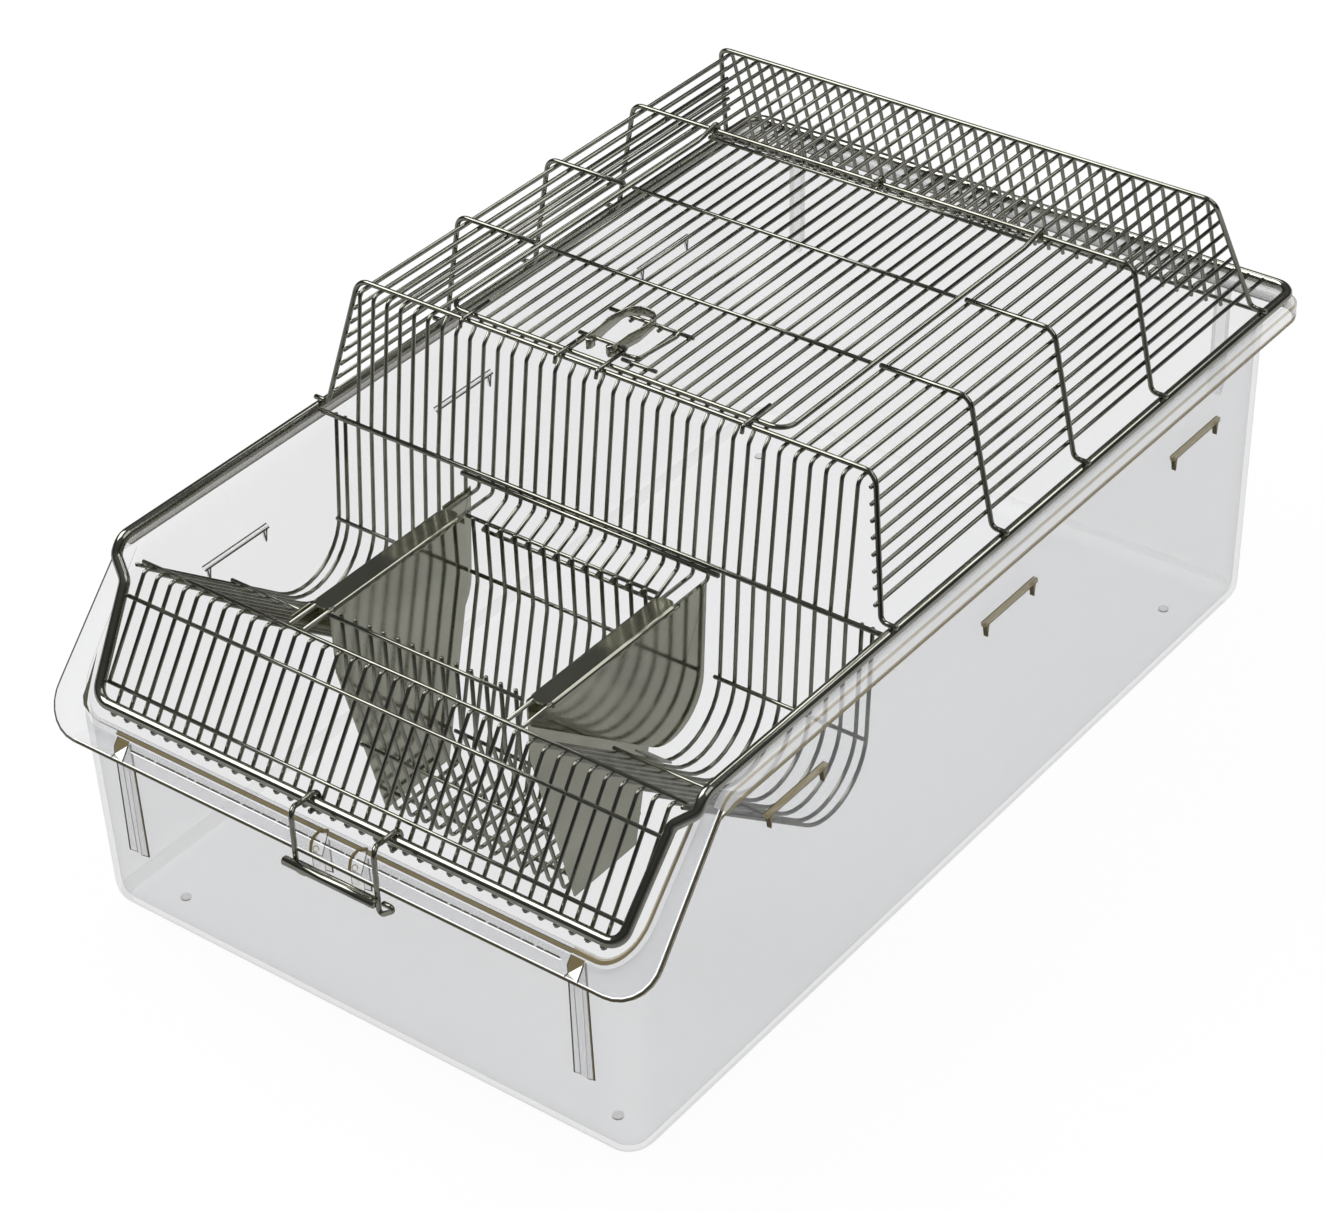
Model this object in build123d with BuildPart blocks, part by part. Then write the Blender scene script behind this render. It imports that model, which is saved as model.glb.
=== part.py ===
from build123d import *
import os
from math import cos, degrees, pi, radians, sin, tan

os.makedirs("parts", exist_ok=True)

# Driving dimensions of the tub, in millimetres and degrees
tub_length = 578.0
tub_width = 350.0
tub_height = 195.5
wall_thickness = 3.0
wall_draft = 1.15
corner_radius = 17.0
floor_edge_radius = 14.0
foot_diameter = 6.0
foot_height = 1.0
foot_side_inset = 32.0
foot_front_inset = 27.0
foot_rear_inset = 39.0
rim_overhang = 10.5
rear_rim_overhang = 12.6
rim_corner_radius = 14.0
rim_thickness = 2.6
skirt_depth = 8.0
skirt_thickness = 2.2
rim_slope_angle = 48.2
rim_slope_setback = 60.6
rim_head_radius = 12.0
front_rim_length = 105.5
front_rim_flare = 2.5
front_rim_corner_radius = 23.0
rib_width = 8.0
rib_depth = 4.5
rib_x = 144.0
rib_foot_height = 50.0
rear_rib_foot_height = 125.0
lug_x = 12.4
lug_width = 8.0
lug_depth = 4.5
lug_foot_height = 103.0
front_shift = 5.0
ledge_length = 49.0
ledge_depth = 4.0
ledge_bar_height = 2.4
ledge_leg_height = 8.5
ledge_leg_width = 2.4
ledge_height = 152.0
ledge_places = (-162.0, 24.0, 208.0)

# Driving dimensions of the lid's wires
rod_diameter = 6.0
wire_diameter = 2.2
hoop_diameter = 2.8
wire_sides = 6
stout_sides = 10
bend_chords = 4
lid_clearance = 0.3
weld_gap = 0.05
contact_gap = 0.15
slope_angle = 55.3
slope_setback = 54.5
rod_inset = 7.5
rod_rear_inset = 1.3
rod_rear_corner_radius = 10.0
rod_front_corner_radius = 9.0
rod_bend_radius = 7.0
rod_joggle = 10.0
rod_joggle_length = 18.0
rod_taper = 6.0
slope_rod_length = 78.7
slope_wire_overhang = 4.0
slope_head_drop = 8.6
slope_cross_places = (24.4, 68.4)
edge_wire_gap = 1.4
edge_wire_spacing = 6.3
wires_each_side = 18
roof_wires_each_side = 17
door_bay_wires_each_side = 11
hopper_wires_each_side = 6

# Driving dimensions of the food bay
feed_bay_length = 148.5
well_depth = 117.0
well_corner_setback = 10.5
well_radius = 32.0
well_chords = 3
head_bar_setback = 4.0
well_floor_cross_place = 78.0
well_back_cross_depth = 52.0
shelf_drop = 10.0
shelf_length = 19.0
shelf_fall = 8.0
rail_depth = 8.0
hopper_front_setback = 19.5
hopper_rear_setback = 28.0
hopper_depth = 145.0
hopper_knee_depth = 43.5
hopper_floor_setback = 26.0
hopper_top_rise = 4.5
divider_sheet = 1.0
divider_clearance = 0.6
divider_wire_gap = 3.6
divider_tab_width = 12.0
divider_tab_length = 16.0

# Driving dimensions of the tunnel and its hoops
tunnel_height = 78.5
face_lean = 16.2
face_bend_drop = 6.5
face_bend_setback = 5.7
hoop_corner_gap = 5.9
hoop_corner_radius = 8.0
hoop_leg_spread = 14.3
hoop_foot_length = 9.5
hoop_foot_radius = 4.0
second_hoop_offset = 81.0
hoop_spacing = 76.4
rear_lean = 22.3
rear_hoop_foot_setback = 36.1
rear_sill_setback = 31.1
side_wires = 8
side_wire_first = 6.8
side_wire_pitch = 8.2
wire_end_overhang = 1.5

# Driving dimensions of the door, its clip and the front bail
door_front_gap = 5.8
door_corner_radius = 9.0
door_wire_pitch = 8.9
door_wires_each_side = 11
door_rear_gap = 8.0
hinge_clearance = 0.3
eye_chords = 8
finger_length = 22.0
finger_x = 88.0
clip_x = -14.0
clip_arm_spacing = 13.0
clip_strip = 0.8
clip_strip_height = 6.0
clip_loop_radius = 9.0
clip_pivot_setback = 10.8
clip_arm_length = 7.0
clip_loop_setback = 36.0
clip_pivot_clearance = 0.3
guard_setback = 44.5
bail_wire_diameter = 2.8
bail_half_spacing = 26.0
bail_reach = 18.6
bail_drop = 35.7
bail_stub = 3.0
bail_bend_radius = 5.0
bail_foot_radius = 2.0
bail_foot_reach = 11.5
bail_foot_rise = 9.0
bail_curl_reach = 5.5
bail_curl_rise = 3.5
grip_diameter = 5.0
grip_length = 60.5
grip_overhang = 7.0
grip_rise = 7.0


# Levels and places worked out from the driving dimensions
tub_front_y = -tub_length / 2
rim_z = tub_height
draft_slope = tan(radians(wall_draft))
rim_half_width = tub_width / 2 + (tub_height - foot_height) * draft_slope + rim_overhang
wall_rear_y = tub_length / 2 + (tub_height - foot_height) * draft_slope
rim_rear_y = wall_rear_y + rear_rim_overhang
rim_head_y = tub_front_y + rim_slope_setback
rim_sin = sin(radians(rim_slope_angle))
rim_cos = cos(radians(rim_slope_angle))
slope_head_y = tub_front_y + slope_setback
slope_sin = sin(radians(slope_angle))
slope_cos = cos(radians(slope_angle))
rod_radius = rod_diameter / 2
wire_radius = wire_diameter / 2
hoop_radius = hoop_diameter / 2
rod_lift = lid_clearance + rod_radius
rod_z = rim_z + rod_lift
rod_x = rim_half_width - rod_inset
rod_rear_y = rim_rear_y - rod_rear_inset
slope_wire_lift = rod_lift - rod_radius - wire_radius
slope_cross_lift = slope_wire_lift + wire_diameter
rail_inner_wire = hopper_wires_each_side + 1
rail_outer_wire = rail_inner_wire + 1

well_corner_z = rim_z - well_depth
face_foot_y = slope_head_y + feed_bay_length
face_foot_z = rod_z - 0.3 * rod_radius
edge_wire_x = (
    tub_width / 2 + (well_corner_z - foot_height) * draft_slope - wall_thickness - edge_wire_gap - wire_radius
)
wire_pitch = (edge_wire_x - edge_wire_spacing) / wires_each_side

hoop_z = rim_z + tunnel_height
roof_z = hoop_z - hoop_radius - wire_radius - contact_gap
hoop_corner_x = roof_wires_each_side * wire_pitch + hoop_corner_gap
hoop_foot_x = hoop_corner_x + hoop_leg_spread
hoop_foot_z = rod_z + rod_radius + hoop_radius
front_hoop_y = face_foot_y + face_lean
second_hoop_y = front_hoop_y + second_hoop_offset
third_hoop_y = second_hoop_y + hoop_spacing
hinge_hoop_y = third_hoop_y + hoop_spacing
rear_hoop_foot_y = rod_rear_y - rear_hoop_foot_setback
rear_hoop_y = rear_hoop_foot_y - rear_lean
rear_sill_y = rod_rear_y - rear_sill_setback


def on_slope(x, down, lift):
    """Point on the lid's sloping front: down from its head, and lifted off its plane."""
    y = slope_head_y - down * slope_cos - lift * slope_sin
    return Vector(x, y, rim_z - down * slope_sin + lift * slope_cos)


def side_point(y, z):
    """Point in the middle plane of the cage."""
    return Vector(0, y, z)


def eased(points, corner, radius, chords):
    """The same run of points, with one corner rounded by chords of the given radius."""
    before = points[corner - 1] - points[corner]
    after = points[corner + 1] - points[corner]
    u = before.normalized()
    v = after.normalized()
    half_angle = radians(u.get_angle(v)) / 2
    centre = points[corner] + (u + v).normalized() * (radius / sin(half_angle))
    start = points[corner] + u * (radius / tan(half_angle)) - centre
    axis = Axis((0, 0, 0), v.cross(u))
    turn = 180 - degrees(2 * half_angle)
    arc = [centre + start.rotate(axis, turn * step / chords) for step in range(chords + 1)]
    return points[:corner] + arc + points[corner + 1:]


def wire_row(points, places, diameter=wire_diameter):
    """Wires bent along one path in a plane of constant x, repeated at the given x places."""
    with BuildLine() as path:
        Polyline(*points)
    start = Plane(origin=points[0], x_dir=(1, 0, 0), z_dir=points[1] - points[0])
    with BuildSketch(start) as sections:
        with Locations(*[(x, 0) for x in places]):
            RegularPolygon(radius=diameter / 2, side_count=wire_sides, major_radius=False)
    sweep(sections.sketch, path=path.wire(), transition=Transition.RIGHT)


def cross_wire(centre, x_from, x_to, diameter=wire_diameter, flat=(0, 1, 0)):
    """Straight wire across the cage, with two of its flats square to the given direction's normal."""
    with BuildSketch(Plane(origin=(x_from, centre.Y, centre.Z), x_dir=flat, z_dir=(1, 0, 0))) as section:
        RegularPolygon(radius=diameter / 2, side_count=wire_sides, major_radius=False)
    extrude(section.sketch, amount=x_to - x_from)


def stout_wire(points, radii, diameter):
    """Stout wire along straight runs, each corner rounded by chords of its own radius, or sharp for none."""
    for corner in reversed(range(1, len(points) - 1)):
        if radii[corner - 1]:
            points = eased(points, corner, radii[corner - 1], bend_chords)
    with BuildLine() as path:
        Polyline(*points)
    with BuildSketch(Plane(origin=points[0], z_dir=points[1] - points[0])) as section:
        RegularPolygon(radius=diameter / 2, side_count=stout_sides)
    sweep(section.sketch, path=path.wire(), transition=Transition.RIGHT)


def places(first, last):
    """The x places of the grid wires from one number to another."""
    return [wire_pitch * number for number in range(first, last + 1)]


def save(builder, name):
    """Label a finished piece and write it out."""
    builder.part.label = name
    export_step(builder.part, f"parts/{name}.step")


# Tub: a clear moulding with drafted walls, a turned-down rim and a flat rim down its sloping front
rim_slope_plane = Plane(origin=(0, rim_head_y, rim_z), x_dir=(1, 0, 0), z_dir=(0, -rim_sin, rim_cos))
cavity_floor_z = foot_height + wall_thickness
cavity_shrink = 2 * (wall_thickness - wall_thickness * draft_slope)
skirt_front_y = rim_head_y - skirt_depth * rim_cos / rim_sin
rim_flat_length = rim_rear_y - skirt_front_y
cutter_size = 2 * tub_length

with BuildPart() as cavity:
    with BuildSketch(Plane.XY.offset(cavity_floor_z)):
        RectangleRounded(tub_width - cavity_shrink, tub_length - cavity_shrink, corner_radius - wall_thickness)
    extrude(amount=tub_height, taper=-wall_draft)
    fillet(cavity.faces().sort_by(Axis.Z)[0].edges(), floor_edge_radius - wall_thickness)


def rim_outline(inset):
    """Flat part of the rim seen from above, drawn in at its sides and rear by the given inset."""
    with Locations((0, skirt_front_y + rim_flat_length / 2 - inset / 2)):
        Rectangle(2 * (rim_half_width - inset), rim_flat_length - inset)


def wall_y(z):
    """Outside of the rear wall at a height; the front wall is its mirror image."""
    return tub_length / 2 + (z - foot_height) * draft_slope


with BuildPart() as tub:
    with BuildSketch(Plane.XY.offset(rim_z - skirt_depth)) as rim_sketch:
        rim_outline(0)
        fillet(rim_sketch.vertices().group_by(Axis.Y)[-1], rim_corner_radius)
    extrude(amount=skirt_depth)
    with BuildSketch(Plane.XY.offset(rim_z - rim_thickness)) as rim_hollow:
        rim_outline(skirt_thickness)
        fillet(rim_hollow.vertices().group_by(Axis.Y)[-1], rim_corner_radius - skirt_thickness)
    extrude(amount=-skirt_depth, mode=Mode.SUBTRACT)
    front_half_width = rim_half_width + front_rim_flare
    with BuildSketch(rim_slope_plane) as front_sketch:
        with BuildLine():
            Polyline(
                (-rim_half_width, 0),
                (rim_half_width, 0),
                (front_half_width, -front_rim_length),
                (-front_half_width, -front_rim_length),
                close=True,
            )
        make_face()
        fillet(front_sketch.vertices().group_by(Axis.Y)[0], front_rim_corner_radius)
    extrude(amount=-rim_thickness)
    with BuildSketch(Plane.XY.offset(foot_height)):
        RectangleRounded(tub_width, tub_length, corner_radius)
    extrude(amount=tub_height - foot_height, taper=-wall_draft)
    fillet(tub.faces().sort_by(Axis.Z)[0].edges(), floor_edge_radius)
    # Ribs on the end walls, each with a slanted foot, and the two lugs under the front rim
    for side in (-1, 1):
        for x, width, depth, foot_z in (
            (rib_x, rib_width, rib_depth, rib_foot_height),
            (lug_x, lug_width, lug_depth, lug_foot_height),
        ):
            with BuildSketch(Plane.YZ.offset(front_shift + side * x - width / 2)):
                with BuildLine():
                    Polyline(
                        (1 - wall_y(foot_z), foot_z),
                        (-wall_y(foot_z) - depth, foot_z + depth),
                        (-wall_y(rim_z) - depth, rim_z),
                        (1 - wall_y(rim_z), rim_z),
                        close=True,
                    )
                make_face()
            extrude(amount=width)
        with BuildSketch(Plane.YZ.offset(side * rib_x - rib_width / 2)):
            with BuildLine():
                Polyline(
                    (wall_y(rear_rib_foot_height) - 1, rear_rib_foot_height),
                    (wall_y(rear_rib_foot_height) + rib_depth, rear_rib_foot_height + rib_depth),
                    (wall_y(rim_z) + rib_depth, rim_z - rim_thickness),
                    (wall_y(rim_z) - 1, rim_z - rim_thickness),
                    close=True,
                )
            make_face()
        extrude(amount=rib_width)
    # Stacking ledges outside the long walls: a slim bar on two tapered legs
    ledge_x = tub_width / 2 + (ledge_height - foot_height) * draft_slope
    for y in ledge_places:
        with BuildSketch(Plane.YZ.offset(ledge_x - wall_thickness / 2)) as ledge_sketch:
            with Locations((y, ledge_height)):
                Rectangle(ledge_length, ledge_bar_height)
            for end in (-1, 1):
                with BuildLine():
                    Polyline(
                        (y + end * ledge_length / 2, ledge_height),
                        (y + end * (ledge_length / 2 - ledge_leg_width), ledge_height),
                        (y + end * (ledge_length / 2 - ledge_leg_width / 3), ledge_height - ledge_leg_height),
                        close=True,
                    )
                make_face()
        extrude(amount=ledge_depth + wall_thickness / 2)
        mirror(about=Plane.YZ)
    # Everything above the sloping front goes, then the inside
    with BuildSketch(rim_slope_plane):
        Rectangle(cutter_size, cutter_size)
    extrude(amount=cutter_size, mode=Mode.SUBTRACT)
    add(cavity.part, mode=Mode.SUBTRACT)
    head_edges = tub.edges().filter_by(Axis.X)
    head_edges = head_edges.filter_by_position(Axis.Y, rim_head_y - weld_gap, rim_head_y + weld_gap)
    head_edges = head_edges.filter_by_position(Axis.Z, rim_z - weld_gap, rim_z + weld_gap)
    fillet(head_edges, rim_head_radius)
    with BuildSketch(Plane.XY):
        for y in (tub_front_y + foot_front_inset, tub_length / 2 - foot_rear_inset):
            with Locations((tub_width / 2 - foot_side_inset, y), (foot_side_inset - tub_width / 2, y)):
                Circle(foot_diameter / 2)
    extrude(amount=cavity_floor_z - wall_thickness / 2)
save(tub, "tub")

# Perimeter rod: one thick rod along the rim, joggled inwards and down the sloping front
rod_bend = on_slope(rod_x, -rod_lift * tan(radians(slope_angle / 2)), rod_lift)
rod_joggle_end = on_slope(rod_x - rod_joggle, rod_joggle_length, rod_lift)
rod_front_corner = on_slope(rod_x - rod_joggle - rod_taper, slope_rod_length, rod_lift)
rod_front = on_slope(0, slope_rod_length, rod_lift)
with BuildPart() as perimeter_rod:
    stout_wire(
        [
            Vector(0, rod_rear_y, rod_z),
            Vector(rod_x, rod_rear_y, rod_z),
            rod_bend,
            rod_joggle_end,
            rod_front_corner,
            rod_front,
        ],
        [rod_rear_corner_radius, rod_bend_radius, rod_bend_radius, rod_front_corner_radius],
        rod_diameter,
    )
    mirror(about=Plane.YZ)
save(perimeter_rod, "perimeter_rod")


def slope_rod_x(down):
    """Half the distance between the rods of the sloping front at a distance down it."""
    share = (down - rod_joggle_length) / (slope_rod_length - rod_joggle_length)
    return rod_x - rod_joggle - rod_taper * share


# Paths of the grid wires, all in planes of constant x
slope_foot = on_slope(0, slope_rod_length + slope_wire_overhang, slope_wire_lift)
slope_head = on_slope(0, slope_head_drop, slope_wire_lift)
well_corner = side_point(face_foot_y - well_corner_setback, well_corner_z)
face_foot = side_point(face_foot_y, face_foot_z)
floor_along = (well_corner - slope_head).normalized()
floor_up = Vector(0, -floor_along.Z, floor_along.Y)
head_bar = slope_head + floor_along * head_bar_setback + floor_up * wire_diameter
front_hoop_top = side_point(front_hoop_y, hoop_z)
face_bend = front_hoop_top - side_point(face_bend_setback, face_bend_drop)
face_tip = front_hoop_top - (front_hoop_top - face_bend).normalized() * (hoop_radius + weld_gap)
roof_corner = side_point(face_bend.Y, roof_z)
rear_corner = side_point(rear_hoop_y + hoop_diameter, roof_z)
rear_sill = side_point(rear_sill_y, rod_z)
rear_fall = rear_sill - rear_corner
rear_inward = Vector(0, rear_fall.Z, -rear_fall.Y).normalized()
rear_foot = rear_sill + rear_inward * (wire_diameter + 2 * contact_gap) + rear_fall.normalized() * wire_diameter
well_path = eased([slope_foot, slope_head, well_corner, face_foot], 2, well_radius, well_chords)
edge_path = [slope_head - floor_up * weld_gap] + well_path[2:]

for name, side in (("left", -1), ("right", 1)):
    with BuildPart() as well_wires:
        for number in range(rail_outer_wire + 1, door_bay_wires_each_side + 1):
            wire_row(well_path + [face_bend, face_tip], [side * number * wire_pitch])
        wire_row(
            [on_slope(0, slope_rod_length - rod_front_corner_radius, slope_wire_lift)] + well_path[1:],
            [side * wires_each_side * wire_pitch],
        )
        wire_row(edge_path, [side * edge_wire_x])
    save(well_wires, f"{name}_well_wires")
    with BuildPart() as roof_wires:
        wire_row(
            well_path + [roof_corner, rear_corner, rear_foot],
            [side * x for x in places(door_bay_wires_each_side + 1, roof_wires_each_side)],
        )
    save(roof_wires, f"{name}_roof_wires")

with BuildPart() as slope_wires:
    bar_way = (head_bar - slope_head).normalized()
    wire_row(
        [slope_foot, slope_head, head_bar - bar_way * (wire_radius + weld_gap)],
        places(-rail_outer_wire, rail_outer_wire),
    )
save(slope_wires, "slope_wires")

# Wires that come down the tunnel's face and turn forward: the shelf and the rails of the dividers
shelf_bend = side_point(face_foot_y - 0.1 * shelf_drop, face_foot_z - shelf_drop)
shelf_along = side_point(-shelf_length, -shelf_fall).normalized()
shelf_up = Vector(0, shelf_along.Z, -shelf_along.Y)
shelf_end = shelf_bend + side_point(-shelf_length, -shelf_fall)
rail_z = rim_z - rail_depth
rail_bend = side_point(shelf_bend.Y, rail_z)
rail_end = side_point(head_bar.Y + wire_radius / cos(pi / wire_sides) + weld_gap, rail_z)
with BuildPart() as shelf_wires:
    wire_row(
        [face_tip, face_bend, face_foot, shelf_bend, shelf_end + shelf_along * wire_end_overhang],
        places(-hopper_wires_each_side, hopper_wires_each_side),
    )
save(shelf_wires, "shelf_wires")
with BuildPart() as divider_rails:
    rails = places(rail_inner_wire, rail_outer_wire)
    wire_row([face_tip, face_bend, face_foot, rail_bend, rail_end], rails + [-x for x in rails])
save(divider_rails, "divider_rails")

with BuildPart() as rear_roof_wires:
    wire_row(
        [side_point(hinge_hoop_y - hoop_radius - wire_end_overhang, roof_z), rear_corner, rear_foot],
        places(-door_bay_wires_each_side, door_bay_wires_each_side),
    )
save(rear_roof_wires, "rear_roof_wires")

ledge_z = rod_z + wire_diameter + weld_gap
with BuildPart() as ledge_wires:
    wire_row(
        [side_point(rear_sill_y - wire_end_overhang, ledge_z), side_point(rod_rear_y - rod_radius, ledge_z)],
        places(-wires_each_side, wires_each_side),
    )
save(ledge_wires, "ledge_wires")

# Cross wires of the slope, the wells, the shelf and the rear
with BuildPart() as slope_cross_wires:
    for down in slope_cross_places:
        reach = slope_rod_x(down) - rod_radius - weld_gap
        cross_wire(
            on_slope(0, down, slope_cross_lift + weld_gap), -reach, reach, flat=(0, slope_cos, slope_sin)
        )
save(slope_cross_wires, "slope_cross_wires")
with BuildPart() as slope_head_bar:
    cross_wire(head_bar + floor_up * weld_gap, -edge_wire_x, edge_wire_x, flat=floor_along)
save(slope_head_bar, "slope_head_bar")

bar_step = wire_radius + hoop_radius + contact_gap
face_bar_centre = face_foot - side_point(bar_step, 0)
bar_reach = rod_x - rod_radius - weld_gap
with BuildPart() as face_bar:
    cross_wire(face_bar_centre, -bar_reach, bar_reach, diameter=hoop_diameter, flat=(0, 0, 1))
save(face_bar, "face_bar")
stiffener_reach = rail_outer_wire * wire_pitch + wire_pitch
with BuildPart() as face_stiffener:
    cross_wire(
        face_bar_centre - side_point(wire_radius, hoop_diameter + weld_gap),
        -stiffener_reach,
        stiffener_reach,
        diameter=hoop_diameter,
    )
save(face_stiffener, "face_stiffener")

back_along = (face_foot - well_path[-2]).normalized()
back_out = Vector(0, -back_along.Z, back_along.Y)
back_cross = face_foot - back_along * well_back_cross_depth + back_out * (wire_diameter + weld_gap)
floor_cross = slope_head + floor_along * well_floor_cross_place + floor_up * (wire_diameter + weld_gap)
for name, side in (("left", -1), ("right", 1)):
    with BuildPart() as well_cross_wires:
        ends = sorted((side * (rail_outer_wire + 1) * wire_pitch - side * wire_diameter, side * edge_wire_x))
        cross_wire(back_cross, *ends, flat=back_along)
        cross_wire(floor_cross, *ends, flat=floor_along)
    save(well_cross_wires, f"{name}_well_cross_wires")

shelf_bar_centre = shelf_end - shelf_up * (wire_diameter + weld_gap)
with BuildPart() as shelf_bar:
    reach = hopper_wires_each_side * wire_pitch + wire_diameter
    cross_wire(shelf_bar_centre, -reach, reach, flat=shelf_along)
save(shelf_bar, "shelf_bar")
with BuildPart() as rear_sill_wire:
    cross_wire(rear_sill, -bar_reach, bar_reach)
save(rear_sill_wire, "rear_sill_wire")

# Hopper: flat-bottomed trough of bent wires hung between the two dividers
rail_inner_x = rail_inner_wire * wire_pitch
rail_outer_x = rail_outer_wire * wire_pitch
cheek_inner_x = rail_inner_x - wire_radius - divider_clearance - divider_sheet
cheek_outer_x = rail_outer_x + wire_radius + divider_clearance
hopper_top_z = rim_z - hopper_top_rise
hopper_floor_z = rim_z - hopper_depth
hopper_knee_z = rim_z - hopper_knee_depth
hopper_front_y = slope_head_y + hopper_front_setback
hopper_rear_y = face_foot_y - hopper_rear_setback
hopper_path = [
    side_point(hopper_front_y, hopper_top_z),
    side_point(hopper_front_y, hopper_knee_z),
    side_point(hopper_front_y + hopper_floor_setback, hopper_floor_z),
    side_point(hopper_rear_y - hopper_floor_setback, hopper_floor_z),
    side_point(hopper_rear_y, hopper_knee_z),
    side_point(hopper_rear_y, hopper_top_z),
]
with BuildPart() as hopper_wires:
    wire_row(hopper_path, places(-hopper_wires_each_side, hopper_wires_each_side))
save(hopper_wires, "hopper_wires")
hopper_bar_reach = cheek_inner_x - weld_gap
hopper_bar_z = hopper_top_z - wire_diameter
with BuildPart() as hopper_front_bar:
    cross_wire(
        side_point(hopper_front_y - wire_diameter - weld_gap, hopper_bar_z),
        -hopper_bar_reach,
        hopper_bar_reach,
        flat=(0, 0, 1),
    )
save(hopper_front_bar, "hopper_front_bar")
with BuildPart() as hopper_rear_bar:
    cross_wire(
        side_point(hopper_rear_y + wire_diameter + weld_gap, hopper_bar_z),
        -hopper_bar_reach,
        hopper_bar_reach,
        flat=(0, 0, 1),
    )
save(hopper_rear_bar, "hopper_rear_bar")
hopper_slant = (hopper_path[2] - hopper_path[1]).normalized()
hopper_out = Vector(0, hopper_slant.Z, -hopper_slant.Y)
with BuildPart() as hopper_cross_wires:
    reach = hopper_bar_reach
    middle = (hopper_path[1] + hopper_path[2]) * 0.5 + hopper_out * (wire_diameter + weld_gap)
    low = hopper_path[3] * 0.85 + hopper_path[4] * 0.15
    low_out = Vector(0, -hopper_out.Y, hopper_out.Z)
    cross_wire(middle, -reach, reach, flat=hopper_slant)
    cross_wire(low + low_out * (wire_diameter + weld_gap), -reach, reach, flat=(0, hopper_slant.Y, -hopper_slant.Z))
    cross_wire(
        hopper_path[4] + side_point(wire_diameter + weld_gap, wire_diameter), -reach, reach, flat=(0, 0, 1)
    )
    cross_wire(
        (hopper_path[2] * 0.75 + hopper_path[3] * 0.25) - side_point(0, wire_diameter + weld_gap), -reach, reach
    )
save(hopper_cross_wires, "hopper_cross_wires")

# Dividers: polished sheet folded over two rails, with one cheek on the hopper and one on the well
divider_top_z = rail_z + wire_radius + weld_gap + divider_sheet
cheek_gap = wire_diameter + divider_sheet
hopper_cheek = [
    (hopper_front_y - divider_clearance, divider_top_z),
    (hopper_front_y - divider_clearance, hopper_knee_z),
    (hopper_front_y + hopper_floor_setback - divider_clearance, hopper_floor_z - wire_radius),
    (hopper_rear_y - hopper_floor_setback + divider_clearance, hopper_floor_z - wire_radius),
    (hopper_rear_y + divider_clearance, hopper_knee_z),
    (hopper_rear_y + divider_clearance, divider_top_z),
]
well_offset = wire_radius + divider_wire_gap
cheek_front = slope_head + floor_along * (head_bar_setback + 2 * wire_diameter) + floor_up * well_offset
cheek_back = face_foot - back_along * (face_foot_z - divider_top_z) + back_out * well_offset
floor_start = well_path[2] + floor_up * well_offset
back_start = well_path[-2] + back_out * well_offset
arc_middle = (well_path[3] + well_path[4]) * 0.5
arc_up = (floor_up + back_out).normalized()
cheek_low = arc_middle + arc_up * well_offset
first_chord = (well_path[3] - well_path[2]).normalized()
chord_up = Vector(0, -first_chord.Z, first_chord.Y)
tab_centre = (well_path[2] + well_path[3]) * 0.5 + chord_up * (wire_radius + weld_gap + divider_sheet / 2)

for name, side in (("left", -1), ("right", 1)):
    with BuildPart() as divider:
        with BuildSketch(Plane.YZ.offset(cheek_inner_x)) as hopper_side:
            with BuildLine():
                Polyline(*hopper_cheek, close=True)
            make_face()
        extrude(amount=divider_sheet)
        with BuildSketch(Plane.YZ.offset(cheek_outer_x)) as well_side:
            with BuildLine():
                Polyline(
                    (cheek_front.Y, divider_top_z),
                    (cheek_front.Y, cheek_front.Z),
                    (floor_start.Y, floor_start.Z),
                )
                ThreePointArc(
                    (floor_start.Y, floor_start.Z),
                    (cheek_low.Y, cheek_low.Z),
                    (back_start.Y, back_start.Z),
                )
                Polyline(
                    (back_start.Y, back_start.Z),
                    (cheek_back.Y, divider_top_z),
                    (cheek_front.Y, divider_top_z),
                )
            make_face()
        extrude(amount=divider_sheet)
        with BuildSketch(Plane.XY.offset(divider_top_z)) as fold:
            with BuildLine():
                Polyline(
                    (cheek_inner_x, hopper_front_y - divider_clearance),
                    (cheek_outer_x + divider_sheet, hopper_front_y - divider_clearance),
                    (cheek_outer_x + divider_sheet, hopper_rear_y + divider_clearance),
                    (cheek_inner_x, hopper_rear_y + divider_clearance),
                    close=True,
                )
            make_face()
        extrude(amount=-divider_sheet)
        with BuildSketch(
            Plane(
                origin=(cheek_outer_x + divider_sheet / 2, tab_centre.Y, tab_centre.Z),
                x_dir=(1, 0, 0),
                z_dir=chord_up,
            )
        ):
            with Locations((divider_tab_width / 2, 0)):
                Rectangle(divider_tab_width, divider_tab_length)
        extrude(amount=divider_sheet / 2, both=True)
        with BuildSketch(
            Plane(
                origin=(cheek_outer_x, tab_centre.Y, tab_centre.Z), x_dir=first_chord, z_dir=(1, 0, 0)
            )
        ):
            with Locations((0, well_offset - divider_sheet / 2)):
                Rectangle(divider_tab_length, 2 * well_offset)
        extrude(amount=divider_sheet)
        if side < 0:
            mirror(about=Plane.YZ, mode=Mode.REPLACE)
    save(divider, f"{name}_divider")


# Hoops: arches of stouter wire over the tunnel, with feet turned out onto the rod
def hoop_points(top_y, foot_y, side):
    """Half of a hoop, from its foot on the rod to the corner of its top."""
    return [
        Vector(side * (hoop_foot_x + hoop_foot_length), foot_y, hoop_foot_z),
        Vector(side * hoop_foot_x, foot_y, hoop_foot_z),
        Vector(side * hoop_corner_x, top_y, hoop_z),
    ]


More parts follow.
